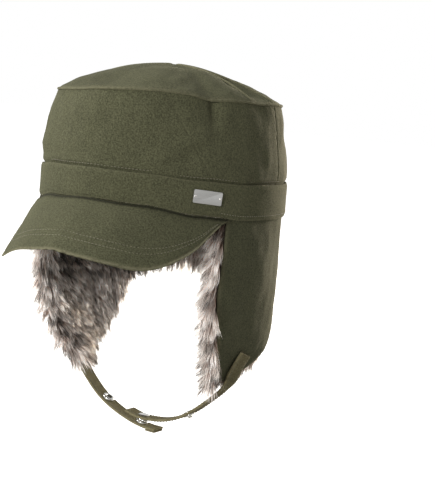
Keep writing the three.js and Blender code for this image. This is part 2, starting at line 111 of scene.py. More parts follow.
# Ear flaps and neck flap
CURTAIN_WALL = 2.2
FLAP_DROP = 131
NECK_DROP = 51
FLAP_FRONT_ANGLE = 65
FLAP_FRONT_SWEEP = 20
FLAP_LEAN = 27
FLAP_CLOSING = 3
FLAP_OPENING = 1
SWEEP_START = 0.45
SWEEP_TURN = 1.4
LEAN_TURN = 2.6
LEAN_ANGLE = 80
LEAN_SPREAD_FRONT = 38
LEAN_SPREAD_BACK = 29
WAIST_ANGLE = 125
WAIST_SPREAD = 30
SIDE_BLEND = 0.2

# Fur lining
FUR_LENGTH = 14.5
FUR_SEAT = 0.8
FUR_SKIN = 0.7
FUR_TOP = 0.06
FUR_SPLIT = 0.42
FUR_FLARE = 5
FUR_OVERHANG_LEFT = 0.075
FUR_OVERHANG_RIGHT = 0.1
FUR_WRAP = 0.55
FLAP_HAIRS = 39500
NECK_HAIRS = 27000
HAIRS_IN_LOCK = 20
HAIR_BREADTH = (0.34, 0.6)
HAIR_LIFT = 0.58
HAIR_REACH = 0.68
HAIR_BOW = 0.5
HAIR_STRAY = 0.12
LOCK_STRAY = 0.15
LOCK_PULL = 0.78
LOCK_NARROWING = 0.28
LOCK_RISE = 3
SWIRL_SIZE = 38

# How pale the hair is: 0 is the darkest and 1 the palest
FUR_TONE = 0.54
DARK_HAIR_SHARE = 0.14
DARK_HAIR_DROP = 0.5
LOCK_TONE_SPREAD = 0.19
HAIR_TONE_SPREAD = 0.08
PATCH_TONE = 0.12
EDGE_PATCH_MORE = 0.6
VISOR_SHADOW_TONE = 0.31
VISOR_SHADOW_FOOT = -72
VISOR_SHADOW_RUN = 24
EDGE_TONE_LEFT = 0.24
EDGE_TONE_RIGHT = 0.07
EDGE_TONE_FOOT = -0.06

# Chin strap
STRAP_WIDTH = 14
STRAP_WALL = 2.2
STRAP_SEAT = 0.8
STRAP_FOLD_START = 222
STRAP_FOLD_WALL = 1.6
STRAP_FOLD_GAP = 0.7
STRAP_STEPS = 240
STRAP_FALL = 47.5
STRAP_ROUNDING = 1.1
STRAP_STITCH_INSET = 2
SNAP_DIAMETER = 10
SNAP_BORE = 4.6
SNAP_HEIGHT = 1.8
SNAP_CAP_WALL = 1
SNAP_SPACING = 38
SNAP_SEAT_X = -3
SNAP_SEAT_GAP = 0.48

# Metal plate
PLATE_LENGTH = 24
PLATE_HEIGHT = 10
PLATE_WALL = 1
PLATE_CORNER = 0.6
PLATE_ARRIS = 0.25
PLATE_ANGLE = 53
PLATE_RISE = 0.54
PLATE_TILT = 5
PIN_DIAMETER = 2
PIN_PLAY = 0.05
PIN_HEAD = 0.3
PIN_INSET = 1.5

# Relief of sewn cloth
SWELL_SIZE = 46
RIPPLE_SIZE = 17
RIPPLE_SHARE = 0.35
CALM_REACH = 9
PUCKER_DEPTH = 0.16
PUCKER_PITCH = 6.3
PUCKER_REACH = 4.5
PUCKER_STRAY_SIZE = 30

# Sewing thread
STITCH_PITCH = 2.7
STITCH_LENGTH = 2.05
THREAD = 0.5

HALF_LENGTH = BAND_LENGTH / 2
HALF_WIDTH = BAND_WIDTH / 2
CROWN_HALF_LENGTH = HALF_LENGTH - BAND_WALL - SEAM_GAP
CROWN_HALF_WIDTH = HALF_WIDTH - BAND_WALL - SEAM_GAP
APEX_HEIGHT = SHOULDER_HEIGHT + DOME_RISE

BAND_EDGES = {
    "angle": [0, 25, 50, 75, 120, 180],
    "rise": [1, 0.86, 0.36, 0, 0, 0],
    "dip": [0, 0, 0, 0, 0.5, 1],
}
# Soft dents in the crown: heights as shares of the shoulder's, depths of the dome's rise.
CROWN_DENTS = {
    "angle": [54, 61, -20, 84, 130, -75, -130],
    "height": [0.95, 0.75, 0.97, 0.92, 0.86, 0.9, 0.88],
    "span_angle": [7, 9, 12, 7, 16, 10, 14],
    "span_height": [0.2, 0.3, 0.14, 0.14, 0.25, 0.22, 0.22],
    "depth": [0.14, 0.05, 0.07, 0.07, 0.08, 0.09, 0.08],
}
# The pinch under the left front corner and the lip behind it: depths in millimetres.
CROWN_CREASE = {
    "angle": [56, 62],
    "height": [0.9, 0.86],
    "span_angle": [2.4, 3],
    "span_height": [0.17, 0.14],
    "depth": [3.5, -1.225],
}
# The soft fold that runs forward and down from the pinch.
FOLD_ANGLES = (31, 56)
FOLD_HEIGHTS = (0.45, 0.68)
FOLD_DEPTH = 1.4
FOLD_VALLEY = -0.05
FOLD_RIDGE = 0.06
FOLD_SPREAD = 0.06
FOLD_REACH = 12
ROOF_SEAMS = [79, 98, 262, 281]
ROOF_SEAM_RADIUS = 1
ROOF_RIM_SHARE = 0.8
DOME_DENT_SHARE = 0.7
DOME_DENT_REACH = 0.6
DOME_MIDDLE_FULLNESS = 1.9
DOME_MIDDLE_SHARE = 0.5
DOME_FULLNESS = {
    "angle": [0, 45, 54, 62, 76, 88, 97, 130, 180, 235, 262, 300, 329, 360],
    "fullness": [2.2, 2.2, 1.95, 2.3, 2.2, 1.25, 1.7, 1.45, 1.7, 1.6, 1.9, 2.2, 2, 2.2],
}
VISOR_EDGE = {
    "side": [0, 0.1, 0.2, 0.3, 0.4, 0.5, 0.6, 0.7, 0.8, 0.9, 1],
    "reach": [1, 0.99, 0.956, 0.9, 0.828, 0.73, 0.623, 0.49, 0.351, 0.192, 0],
    "width": [0, 0.2, 0.378, 0.52, 0.639, 0.745, 0.83, 0.9, 0.948, 0.977, 0.99],
    "drop": [0.93, 0.99, 1.045, 1.105, 1.17, 1.175, 1.1, 0.95, 0.76, 0.47, 0.2],
}
# How much of the far side's tuck and sag each place across the visor takes.
VISOR_FAR_SHARE = {
    "side": [-1, -0.9, -0.7, -0.4, -0.15, 1],
    "tuck": [0.35, 0.7, 1, 0, 0, 0],
    "sag": [0, 0, 0.35, 1, 0, 0],
}
CURTAIN_HEM = {
    "angle": [84, 93, 97, 107, 115, 120, 125, 129, 137, 150, 180],
    "drop": [0, 0, 0.06, 0.19, 0.3, 0.43, 0.6, 0.78, 0.94, 1, 1],
}
STRAP_SEWN = {"along": [0.825, 0.86, 0.883], "down": [0.882, 0.925, 0.965]}
LEFT_RUN = {
    "x": [0.75, 0.684, 0.566, 0.459, 0.355, 0.242, 0.144, -0.031, -0.17],
    "y": [0.321, 0.25, 0.143, 0.071, -0.071, -0.143, -0.143, -0.143, -0.143],
    "z": [0.03, 0.203, 0.418, 0.59, 0.718, 0.801, 0.838, 0.838, 0.767],
}
RIGHT_RUN = {
    "x": [-0.688, -0.58, -0.442, -0.261, -0.103, 0.025, 0.141],
    "y": [0.321, 0.214, 0.071, -0.143, -0.143, -0.143, -0.143],
    "z": [0.203, 0.429, 0.639, 0.805, 0.929, 0.989, 1.008],
}


def mix(a, b, t):
    return a + (b - a) * t


def smooth(t):
    t = np.clip(t, 0, 1)
    return t * t * (3 - 2 * t)


def bump(x, middle, spread):
    return np.exp(-(((x - middle) / spread) ** 2))


def eased(count):
    """Steps from 0 to 1 that lie closer together at both ends, where edges are rounded."""
    return 0.5 - 0.5 * np.cos(np.linspace(0, pi, count + 1))


def unit(v):
    return v / np.maximum(np.linalg.norm(v, axis=-1, keepdims=True), 1e-9)


def fold(angle):
    turned = np.asarray(angle, float) % 360
    return np.where(turned > 180, 360 - turned, turned)


def read(table, key, value, x):
    """A value from a table, with rounded steps between its rows."""
    xs, ys = np.array(table[key], float), np.array(table[value], float)
    i = np.clip(np.searchsorted(xs, x) - 1, 0, len(xs) - 2)
    return mix(ys[i], ys[i + 1], smooth((x - xs[i]) / (xs[i + 1] - xs[i])))


def flow(table, key, value, x):
    """A value from a table on one smooth curve through its rows."""
    xs, ys = np.array(table[key], float), np.array(table[value], float)
    slope = np.gradient(ys, xs)
    i = np.clip(np.searchsorted(xs, x) - 1, 0, len(xs) - 2)
    h = xs[i + 1] - xs[i]
    t = np.clip((x - xs[i]) / h, 0, 1)
    start = (1 + 2 * t) * (1 - t) ** 2 * ys[i] + t * (1 - t) ** 2 * h * slope[i]
    return start + t * t * (3 - 2 * t) * ys[i + 1] + t * t * (t - 1) * h * slope[i + 1]


def ripple(points, size, seed):
    """Smooth random relief, about -1 to 1, whose waves are about this many millimetres long."""
    rng = np.random.default_rng(seed)
    waves = 14
    way = unit(rng.normal(size=(waves, 3))) * (2 * pi / size) * rng.uniform(0.6, 1.4, (waves, 1))
    phase = rng.uniform(0, 2 * pi, waves)
    return np.cos(points @ way.T + phase).sum(-1) / np.sqrt(waves * 2)


def on_ellipse(half_length, half_width, angle, z):
    turn = np.radians(angle)
    return np.stack(np.broadcast_arrays(half_width * np.sin(turn), -half_length * np.cos(turn), z), -1)


def band_low(angle):
    return read(BAND_EDGES, "angle", "rise", fold(angle)) * BAND_FRONT_RISE - BAND_BACK_DIP


def band_top(angle):
    rise = read(BAND_EDGES, "angle", "rise", fold(angle)) * BAND_FRONT_RISE * BAND_TOP_SHARE
    dip = read(BAND_EDGES, "angle", "dip", fold(angle)) * BAND_BACK_DIP
    return BAND_HEIGHT - BAND_BACK_DIP + rise - dip


def shoulder_height(angle):
    signed = (np.asarray(angle, float) + 180) % 360 - 180
    left = bump(signed, FRONT_PANEL_HEAD, SHOULDER_CORNER_SPREAD)
    right = bump(signed, -FRONT_PANEL_HEAD * SHOULDER_RIGHT_TURN, SHOULDER_CORNER_SPREAD)
    corners = left - SHOULDER_RIGHT_SINK * right
    front = SHOULDER_FRONT_RISE * np.cos(np.radians(angle))
    return SHOULDER_HEIGHT + front + SHOULDER_CORNER_RISE * corners


def dent_depth(angle, height):
    total = 0
    for a, h, wide, tall, depth in zip(*CROWN_DENTS.values()):
        off = (angle - a + 540) % 360 - 180
        total = total + depth * DOME_RISE * bump(off, 0, wide) * bump(height, h, tall)
    return total


def crease_depth(angle, height):
    """A pinched crease under the left front corner, and the soft fold that runs on from it."""
    signed = (np.asarray(angle, float) + 180) % 360 - 180
    pinch = 0
    for a, h, wide, tall, depth in zip(*CROWN_CREASE.values()):
        pinch = pinch + depth * bump(signed, a, wide) * bump(height, h, tall)
    low, high = FOLD_ANGLES
    line = height - mix(*FOLD_HEIGHTS, (signed - low) / (high - low))
    across = bump(line, FOLD_VALLEY, FOLD_SPREAD) - bump(line, FOLD_RIDGE, FOLD_SPREAD)
    return pinch + FOLD_DEPTH * across * bump(signed, (low + high) / 2, FOLD_REACH)


def rim_height(angle):
    return shoulder_height(angle) - dent_depth(angle, 1) * DOME_DENT_SHARE


def puff(angle, climb):
    """How far the wall swells out over the band on the wearer's right."""
    off = (angle - CROWN_PUFF_ANGLE + 540) % 360 - 180
    fall = 1 - smooth((climb - PUFF_HEAD) / (1 - PUFF_HEAD))
    return CROWN_PUFF * bump(off, 0, CROWN_PUFF_SPREAD) * smooth((climb - PUFF_FOOT) / PUFF_RUN) * fall


def crown_wall(angle, t):
    """Outer face of the crown's wall, from behind the band (0) to the roof (1)."""
    top = rim_height(angle) - CLOTH_WALL
    z = mix(band_top(angle) - SEAM_TUCK, top, t)
    climb = np.clip((z - band_top(angle)) / (top - band_top(angle)), 0, 1)
    turn = SHOULDER_INSET * climb**SHOULDER_TURN
    blouse = smooth(climb / BLOUSE_FOOT) * (1 - smooth((climb - BLOUSE_FULL) / BLOUSE_RUN))
    share = z / SHOULDER_HEIGHT
    hollow = dent_depth(angle, share) * climb + crease_depth(angle, share)
    inset = turn + hollow - puff(angle, climb) - WALL_BLOUSE * blouse
    return on_ellipse(CROWN_HALF_LENGTH - inset, CROWN_HALF_WIDTH - inset, angle, z)


def dome(angle, rho):
    """Outer face of the roof: rho is 0 at its middle and 1 at the shoulder."""
    outer = flow(DOME_FULLNESS, "angle", "fullness", np.asarray(angle, float) % 360)
    fullness = mix(DOME_MIDDLE_FULLNESS, outer, smooth(rho / DOME_MIDDLE_SHARE))
    sag = dent_depth(angle, 1 + (1 - rho) * DOME_DENT_REACH) * rho * DOME_DENT_SHARE
    z = APEX_HEIGHT - (APEX_HEIGHT - shoulder_height(angle)) * rho**fullness - sag
    inset = SHOULDER_INSET + dent_depth(angle, 1) * rho
    return on_ellipse((CROWN_HALF_LENGTH - inset) * rho, (CROWN_HALF_WIDTH - inset) * rho, angle, z)


def band_face(angle, t):
    return on_ellipse(HALF_LENGTH, HALF_WIDTH, angle, mix(band_low(angle), band_top(angle), t))


def visor_face(side, out):
    """Upper face of the visor: side is -1 to 1 across it, out is 0 at the band and 1 at its edge."""
    side, out = np.broadcast_arrays(np.asarray(side, float), out)
    s = np.abs(side)
    inset = BAND_WALL / 2
    height = band_low(side * VISOR_SPAN) - SEAM_GAP
    root = on_ellipse(HALF_LENGTH - inset, HALF_WIDTH - inset, side * VISOR_SPAN, height)
    corner = on_ellipse(HALF_LENGTH, HALF_WIDTH, VISOR_SPAN, 0)
    x = np.sign(side) * corner[0] * flow(VISOR_EDGE, "side", "width", s)
    y = mix(corner[1], -HALF_LENGTH - VISOR_REACH, flow(VISOR_EDGE, "side", "reach", s))
    z = band_low(0) - VISOR_DROP * flow(VISOR_EDGE, "side", "drop", s)
    x = x + VISOR_FAR_TUCK * read(VISOR_FAR_SHARE, "side", "tuck", side)
    z = z - VISOR_FAR_SAG * read(VISOR_FAR_SHARE, "side", "sag", side)
    face = mix(root, np.stack([x, y, z], -1), out[..., None])
    face[..., 2] += VISOR_CROWN * np.sin(out * pi) * (1 - s * s)
    return face


def flap_face(along, down, depth=0.0):
    """Outer face of the flaps: along is -1 to 1 from one front edge over the back to the other."""
    along, down, depth = np.broadcast_arrays(np.asarray(along, float), down, depth)
    back = 1 - np.abs(along)
    top_angle = mix(FLAP_FRONT_ANGLE, 180, back)
    hem_angle = top_angle + FLAP_FRONT_SWEEP * (1 - back) ** 2
    hem = -mix(FLAP_DROP, NECK_DROP, flow(CURTAIN_HEM, "angle", "drop", fold(hem_angle)))
    sweep = np.clip((down - SWEEP_START) / (1 - SWEEP_START), 0, 1) ** SWEEP_TURN
    angle = mix(top_angle, hem_angle, sweep)
    z = mix(band_low(angle) + SEAM_TUCK, hem, down)
    low = np.clip(-z / FLAP_DROP, 0, 1.2)
    lean_spread = np.where(angle > LEAN_ANGLE, LEAN_SPREAD_BACK, LEAN_SPREAD_FRONT)
    lean = FLAP_LEAN * low**LEAN_TURN * bump(angle, LEAN_ANGLE, lean_spread)
    closing = mix(FLAP_CLOSING, -FLAP_OPENING, smooth((along + SIDE_BLEND) / (2 * SIDE_BLEND)))
    waist = closing * smooth(2 * low) * bump(angle, WAIST_ANGLE, WAIST_SPREAD)
    inset = waist + depth
    face = on_ellipse(CROWN_HALF_LENGTH - inset, CROWN_HALF_WIDTH - lean - inset, angle, z)
    face[..., 0] *= np.where(along < 0, -1, 1)
    return face


def add_piece(name, points, faces, marks=None, flat=None):
    """A mesh object from points in millimetres. marks are named values at the points."""
    mesh = bpy.data.meshes.new(name)
    mesh.from_pydata((np.asarray(points, float) * MM).tolist(), [], faces)
    for key, values in (marks or {}).items():
        layer = mesh.attributes.new(key, "FLOAT", "POINT")
        layer.data.foreach_set("value", np.asarray(values, np.float32).ravel())
    if flat is not None:
        corner = np.empty(len(mesh.loops), np.int32)
        mesh.loops.foreach_get("vertex_index", corner)
        layer = mesh.uv_layers.new(name="cloth_grain")
        layer.data.foreach_set("uv", (flat[corner] * MM).astype(np.float32).ravel())
    mesh.shade_smooth()
    piece = bpy.data.objects.new(name, mesh)
    bpy.context.scene.collection.objects.link(piece)
    return piece


def settle(piece, material, slot, *nodes):
    """Gives a piece its material, hangs it on the root body and hides the model's parts it replaces."""
    piece.data.materials.append(material)
    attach(piece, "root")
    if nodes:
        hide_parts(*nodes)
    return piece


def face_out(piece):
    """Turns every face of a closed piece outwards and joins points that coincide."""
    form = bmesh.new()
    form.from_mesh(piece.data)
    bmesh.ops.remove_doubles(form, verts=form.verts, dist=1e-7)
    bmesh.ops.recalc_face_normals(form, faces=form.faces)
    form.to_mesh(piece.data)
    form.free()


def grid_faces(rows, columns, start=0, wraps=False):
    i, j = np.meshgrid(np.arange(rows if wraps else rows - 1), np.arange(columns - 1), indexing="ij")
    here, there = start + i * columns + j, start + (i + 1) % rows * columns + j
    return np.stack([here, there, there + 1, here + 1], -1).reshape(-1, 4).tolist()


def grid_normals(points, wraps=False):
    along = np.roll(points, -1, 0) - np.roll(points, 1, 0) if wraps else np.gradient(points, axis=0)
    return unit(np.cross(along, np.gradient(points, axis=1)))


def ring_faces(rings, sides):
    """Faces between rings of points that each close on themselves."""
    return [[k * sides + i, k * sides + (i + 1) % sides, (k + 1) * sides + (i + 1) % sides,
             (k + 1) * sides + i] for k in range(rings - 1) for i in range(sides)]


def end_faces(rows, columns):
    """The two ends of a tube whose last column lies on its first."""
    return [list(range(columns - 1)), list(range((rows - 1) * columns, rows * columns - 1))[::-1]]


def run_lengths(points, axis):
    """Millimetres along the grid from its first row or column."""
    gap = np.linalg.norm(np.diff(points, axis=axis), axis=-1)
    first = np.zeros_like(np.take(gap, [0], axis))
    return np.concatenate([first, np.cumsum(gap, axis)], axis)


def shell(name, outer, inner, wraps, marks):
    """A closed sheet between two grids of points."""
    rows, columns = outer.shape[:2]
    size = rows * columns
    faces = grid_faces(rows, columns, 0, wraps) + grid_faces(rows, columns, size, wraps)
    border = [[i * columns + j for i in range(rows)] + ([j] if wraps else []) for j in (0, columns - 1)]
    if not wraps:
        border += [[i * columns + j for j in range(columns)] for i in (0, rows - 1)]
    for edge in border:
        faces += [[a, b, b + size, a + size] for a, b in zip(edge, edge[1:])]
    across, up = run_lengths(outer, 0).ravel(), run_lengths(outer, 1).ravel()
    flat = np.tile(np.stack([across, up], -1), (2, 1))
    marks = {key: np.tile(value.ravel(), 2) for key, value in marks.items()}
    points = np.concatenate([outer.reshape(-1, 3), inner.reshape(-1, 3)])
    piece = add_piece(name, points, faces, marks, flat)
    face_out(piece)
    return piece


def sewn_cloth(name, points, wall, sides, seed, soft=0.5, roll=1.0, spread=2.0, turned=0.0,
               wraps=False, facing=1, inner=None, seam_reach=2.6, wear_and_highlight=1.0, shade_foot=False):
    """A piece of cloth cut to a grid of points, soft in the middle and drawn in at its sewn sides.

    sides names the grid's sewn or hemmed sides: first and last row, foot and head column. turned
    lifts the back of the cloth at those sides too, as where the cloth is folded round an edge.
    shade_foot paints shade along a line at the foot, where the cloth goes down into a seam.
    """
    normal = grid_normals(points, wraps) * facing
    across, up = run_lengths(points, 0), run_lengths(points, 1)
    reach = {"first": across, "last": across[-1:] - across, "foot": up, "head": up[:, -1:] - up}
    edge = np.min([reach[side] for side in sides], axis=0)
    ends, flanks = np.minimum(reach["foot"], reach["head"]), np.minimum(reach["first"], reach["last"])
    run = np.where(ends < flanks, across, up)
    calm = 1 - np.exp(-((edge / CALM_REACH) ** 2))
    swell = ripple(points, SWELL_SIZE, seed) + RIPPLE_SHARE * ripple(points, RIPPLE_SIZE, seed + 1)
    gather = np.sin(2 * pi * run / PUCKER_PITCH + 2 * ripple(points, PUCKER_STRAY_SIZE, seed + 2))
    pucker = PUCKER_DEPTH * gather * np.exp(-edge / PUCKER_REACH)
    relief = soft * calm * swell + (pucker - roll * np.exp(-((edge / spread) ** 2)))
    under = points - normal * wall if inner is None else inner
    under = under + normal * (turned * np.exp(-((edge / spread) ** 2)))[..., None]
    # Pales the cloth near its sewn sides: wear, and where the mark is raised, a painted highlight.
    marks = {"seam": wear_and_highlight * np.exp(-((edge / seam_reach) ** 2))}
    if shade_foot:
        # Painted shade: a dark line along the visor's foot, where it goes into the band.
        marks["painted_seam_shade"] = bump(up, VISOR_SHADOW_LINE, VISOR_SHADOW_REACH)
    return shell(name, points + normal * relief[..., None], under, wraps, marks)


def stitch_row(name, path, normal, pitch=STITCH_PITCH):
    """Thread stitches along a path, each dipping into the cloth at both ends."""
    travelled = np.concatenate([[0], np.cumsum(np.linalg.norm(np.diff(path, axis=0), axis=1))])
    count = max(2, int(travelled[-1] / pitch))
    start = np.arange(count) * travelled[-1] / count
    sides, levels = 6, np.array([0.02, 0.2, 0.5, 0.8, 0.98])
    girth = THREAD / 2 * np.array([0.25, 0.85, 1, 0.85, 0.25])
    lift = THREAD * np.array([-0.25, 0.12, 0.3, 0.12, -0.25])
    at = start[:, None] + levels * STITCH_LENGTH
    middle = np.stack([np.interp(at, travelled, path[:, k]) for k in range(3)], -1)
    up = unit(np.stack([np.interp(at, travelled, normal[:, k]) for k in range(3)], -1))
    way = unit(middle[:, -1:] - middle[:, :1])
    side = unit(np.cross(up, way))
    turn = np.arange(sides) * 2 * pi / sides
    ring = side[:, :, None] * np.cos(turn)[:, None] + up[:, :, None] * np.sin(turn)[:, None]
    points = middle[:, :, None] + up[:, :, None] * lift[:, None, None] + ring * girth[:, None, None]
    per = len(levels) * sides
    one = ring_faces(len(levels), sides)
    one += [list(range(sides))[::-1], list(range(per - sides, per))]
    faces = [[v + n * per for v in face] for n in range(count) for face in one]
    return settle(add_piece(name, points.reshape(-1, 3), faces), THREAD_FINISH, "wool_cloth")


# Materials

def add_node(tree, kind, values=None, **settings):
    made = tree.nodes.new(kind)
    for key, value in settings.items():
        setattr(made, key, value)
    for key, value in (values or {}).items():
        if isinstance(value, bpy.types.NodeSocket):
            tree.links.new(value, made.inputs[key])
        else:
            made.inputs[key].default_value = value
    return made


def scaled(tree, value, low, high, start=0, end=1):
    """A value that runs from low to high while the one it reads runs from start to end."""
    reach = {"Value": value, "From Min": start, "From Max": end, "To Min": low, "To Max": high}
    return add_node(tree, "ShaderNodeMapRange", reach).outputs[0]


def times(tree, a, b, more=None):
    """The product of two values, with a third one added to it where it is given."""
    operation = "MULTIPLY" if more is None else "MULTIPLY_ADD"
    values = {0: a, 1: b} if more is None else {0: a, 1: b, 2: more}
    return add_node(tree, "ShaderNodeMath", values, operation=operation).outputs[0]


def toned(tree, colour, value, saturation=1):
    """A colour made brighter or darker, and more or less strong."""
    change = {"Hue": 0.5, "Saturation": saturation, "Value": value, "Fac": 1, "Color": colour}
    return add_node(tree, "ShaderNodeHueSaturation", change).outputs[0]


def node_group(name, takes, gives, build):
    """A shader node group: takes and gives name its sockets, build fills it."""
    tree = bpy.data.node_groups.new(name, "ShaderNodeTree")
    for label, kind in takes.items():
        tree.interface.new_socket(label, in_out="INPUT", socket_type=kind)
    for label, kind in gives.items():
        tree.interface.new_socket(label, in_out="OUTPUT", socket_type=kind)
    inside, outside = tree.nodes.new("NodeGroupInput"), tree.nodes.new("NodeGroupOutput")
    for label, value in build(tree, inside.outputs).items():
        tree.links.new(value, outside.inputs[label])
    return tree


COLOR, NUMBER, VECTOR = "NodeSocketColor", "NodeSocketFloat", "NodeSocketVector"


def build_mottle(tree, given):
    """Uneven dye and flecks of lighter fibre."""
    place = given["Place"]
    cloud = add_node(tree, "ShaderNodeTexNoise",
                     {"Vector": place, "Scale": given["Cloud Scale"], "Detail": 3})
    fleck = add_node(tree, "ShaderNodeTexNoise",
                     {"Vector": place, "Scale": given["Fleck Scale"], "Detail": 2})
    clouds = times(tree, scaled(tree, cloud.outputs[0], -1, 1, 0.3, 0.7), given["Cloud"])
    total = times(tree, scaled(tree, fleck.outputs[0], -1, 1, 0.3, 0.7), given["Fleck"], clouds)
    value = add_node(tree, "ShaderNodeMath", {0: total, 1: 1.0}, operation="ADD").outputs[0]
    return {"Color": toned(tree, given["Color"], value)}


def build_worn_and_highlit_edge(tree, given):
    """Cloth paler where it stands proud at a seam or hem: rubbed wear, and on some seams a painted
    highlight.
    """
    grain = add_node(tree, "ShaderNodeTexNoise", {"Vector": given["Place"], "Scale": 420, "Detail": 3})
    patch = scaled(tree, grain.outputs[0], 0.45, 1, 0.35, 0.65)
    share = times(tree, times(tree, patch, given["Mask"]), given["Amount"])
    blend = add_node(tree, "ShaderNodeMix", {"Factor": share}, data_type="RGBA")
    tree.links.new(given["Color"], blend.inputs[6])
    tree.links.new(given["Worn And Highlight Color"], blend.inputs[7])
    return {"Color": blend.outputs[2]}


def build_nap(tree, given):
    """Height of a twill weave under a short felted nap."""
    place = given["Place"]
    twill = {"Vector": given["Grain"], "Scale": given["Twill Scale"], "Distortion": 1.2, "Detail": 1}
    weave = add_node(tree, "ShaderNodeTexWave", twill, bands_direction="DIAGONAL")
    nap = add_node(tree, "ShaderNodeTexNoise", {"Vector": place, "Scale": 1500, "Detail": 4})
    lumps = add_node(tree, "ShaderNodeTexNoise", {"Vector": place, "Scale": 260, "Detail": 3})
    fine = times(tree, nap.outputs[0], 0.6, times(tree, weave.outputs["Fac"], given["Twill"]))
    return {"Height": times(tree, lumps.outputs[0], 0.9, fine)}


MOTTLE = node_group(
    "uneven_dye",
    {"Color": COLOR, "Place": VECTOR, "Cloud Scale": NUMBER, "Cloud": NUMBER,
     "Fleck Scale": NUMBER, "Fleck": NUMBER},
    {"Color": COLOR}, build_mottle)
WORN_AND_HIGHLIT_EDGE = node_group(
    "worn_and_highlit_edge",
    {"Color": COLOR, "Worn And Highlight Color": COLOR, "Place": VECTOR, "Mask": NUMBER, "Amount": NUMBER},
    {"Color": COLOR}, build_worn_and_highlit_edge)
NAP = node_group(
    "felted_twill",
    {"Place": VECTOR, "Grain": VECTOR, "Twill Scale": NUMBER, "Twill": NUMBER},
    {"Height": NUMBER}, build_nap)


def new_material(name, **surface):
    material = bpy.data.materials.new(name)
    material.use_nodes = True
    tree = material.node_tree
    shader = tree.nodes["Principled BSDF"]
    for key, value in surface.items():
        shader.inputs[key.replace("_", " ")].default_value = value
    return material, tree, shader


def wool_cloth(name, colour, worn_and_highlit, twill=0.32, bump_depth=0.0006):
    """Felted twill: paler at seams from wear and painted highlight, with painted shade down in a seam."""
    material, tree, shader = new_material(
        name, Roughness=0.92, Sheen_Weight=0.18, Sheen_Roughness=0.55, Specular_IOR_Level=0.18)
    shader.inputs["Sheen Tint"].default_value = (*worn_and_highlit, 1)
    place = add_node(tree, "ShaderNodeTexCoord").outputs["Object"]
    grain = add_node(tree, "ShaderNodeUVMap", uv_map="cloth_grain").outputs[0]
    seam = add_node(tree, "ShaderNodeAttribute", attribute_name="seam").outputs["Fac"]
    painted_seam_shade = add_node(tree, "ShaderNodeAttribute", attribute_name="painted_seam_shade").outputs["Fac"]
    dye = {"Color": (*colour, 1), "Place": place, "Cloud Scale": 38, "Cloud": 0.06,
           "Fleck Scale": 900, "Fleck": 0.42}
    dyed = add_node(tree, "ShaderNodeGroup", dye, node_tree=MOTTLE)
    edge_paling = {"Color": dyed.outputs[0], "Worn And Highlight Color": (*worn_and_highlit, 1), "Place": place, "Mask": seam, "Amount": 0.55}
    edge = add_node(tree, "ShaderNodeGroup", edge_paling, node_tree=WORN_AND_HIGHLIT_EDGE)
    weave = {"Place": place, "Grain": grain, "Twill Scale": 460, "Twill": twill}
    nap = add_node(tree, "ShaderNodeGroup", weave, node_tree=NAP)
    relief = add_node(tree, "ShaderNodeBump",
                      {"Strength": 0.55, "Distance": bump_depth, "Height": nap.outputs[0]})
    # Painted shade: the colour darkens to a tenth of its value along the line at the visor's foot.
    shaded = toned(tree, edge.outputs[0], scaled(tree, painted_seam_shade, 1, 0.1))
    tree.links.new(shaded, shader.inputs["Base Color"])
    tree.links.new(relief.outputs[0], shader.inputs["Normal"])
    return material


def plain_thread(name, colour):
    material, tree, shader = new_material(name, Roughness=0.7, Sheen_Weight=0.2, Specular_IOR_Level=0.3)
    place = add_node(tree, "ShaderNodeTexCoord").outputs["Object"]
    dye = {"Color": (*colour, 1), "Place": place, "Cloud Scale": 150, "Cloud": 0.12,
           "Fleck Scale": 2600, "Fleck": 0.12}
    dyed = add_node(tree, "ShaderNodeGroup", dye, node_tree=MOTTLE)
    tree.links.new(dyed.outputs[0], shader.inputs["Base Color"])
    return material


def fur_hair(name, tones):
    """Hair that is dark at the root and silver at the tip. tones are rows of place and colour."""
    material, tree, shader = new_material(
        name, Roughness=0.55, Sheen_Weight=0.15, Specular_IOR_Level=0.35)
    tip = add_node(tree, "ShaderNodeAttribute", attribute_name="tip").outputs["Fac"]
    tone = add_node(tree, "ShaderNodeAttribute", attribute_name="tone").outputs["Fac"]
    ramp = add_node(tree, "ShaderNodeValToRGB", {"Fac": tip})
    while len(ramp.color_ramp.elements) < len(tones):
        ramp.color_ramp.elements.new(0.5)
    for element, (place, colour) in zip(ramp.color_ramp.elements, tones):
        element.position = place
        element.color = (*colour, 1)
    tinted = toned(tree, ramp.outputs[0], scaled(tree, tone, 0.06, 1.56), scaled(tree, tone, 2.2, 0.5))
    tree.links.new(tinted, shader.inputs["Base Color"])
    return material


def bright_metal(name, colour, roughness, stretch, scratch):
    """Metal with fine marks, stretched along one direction where it is brushed."""
    material, tree, shader = new_material(name, Metallic=1.0)
    shader.inputs["Base Color"].default_value = (*colour, 1)
    place = add_node(tree, "ShaderNodeTexCoord")
    spread = add_node(tree, "ShaderNodeMapping", {"Vector": place.outputs["Object"], "Scale": stretch})
    marks = add_node(tree, "ShaderNodeTexNoise", {"Vector": spread.outputs[0], "Scale": 1, "Detail": 3})
    rough = scaled(tree, marks.outputs[0], roughness * 0.7, roughness * 1.35, 0.3, 0.7)
    relief = add_node(tree, "ShaderNodeBump",
                      {"Strength": 0.4, "Distance": scratch, "Height": marks.outputs[0]})
    tree.links.new(rough, shader.inputs["Roughness"])
    tree.links.new(relief.outputs[0], shader.inputs["Normal"])
    return material


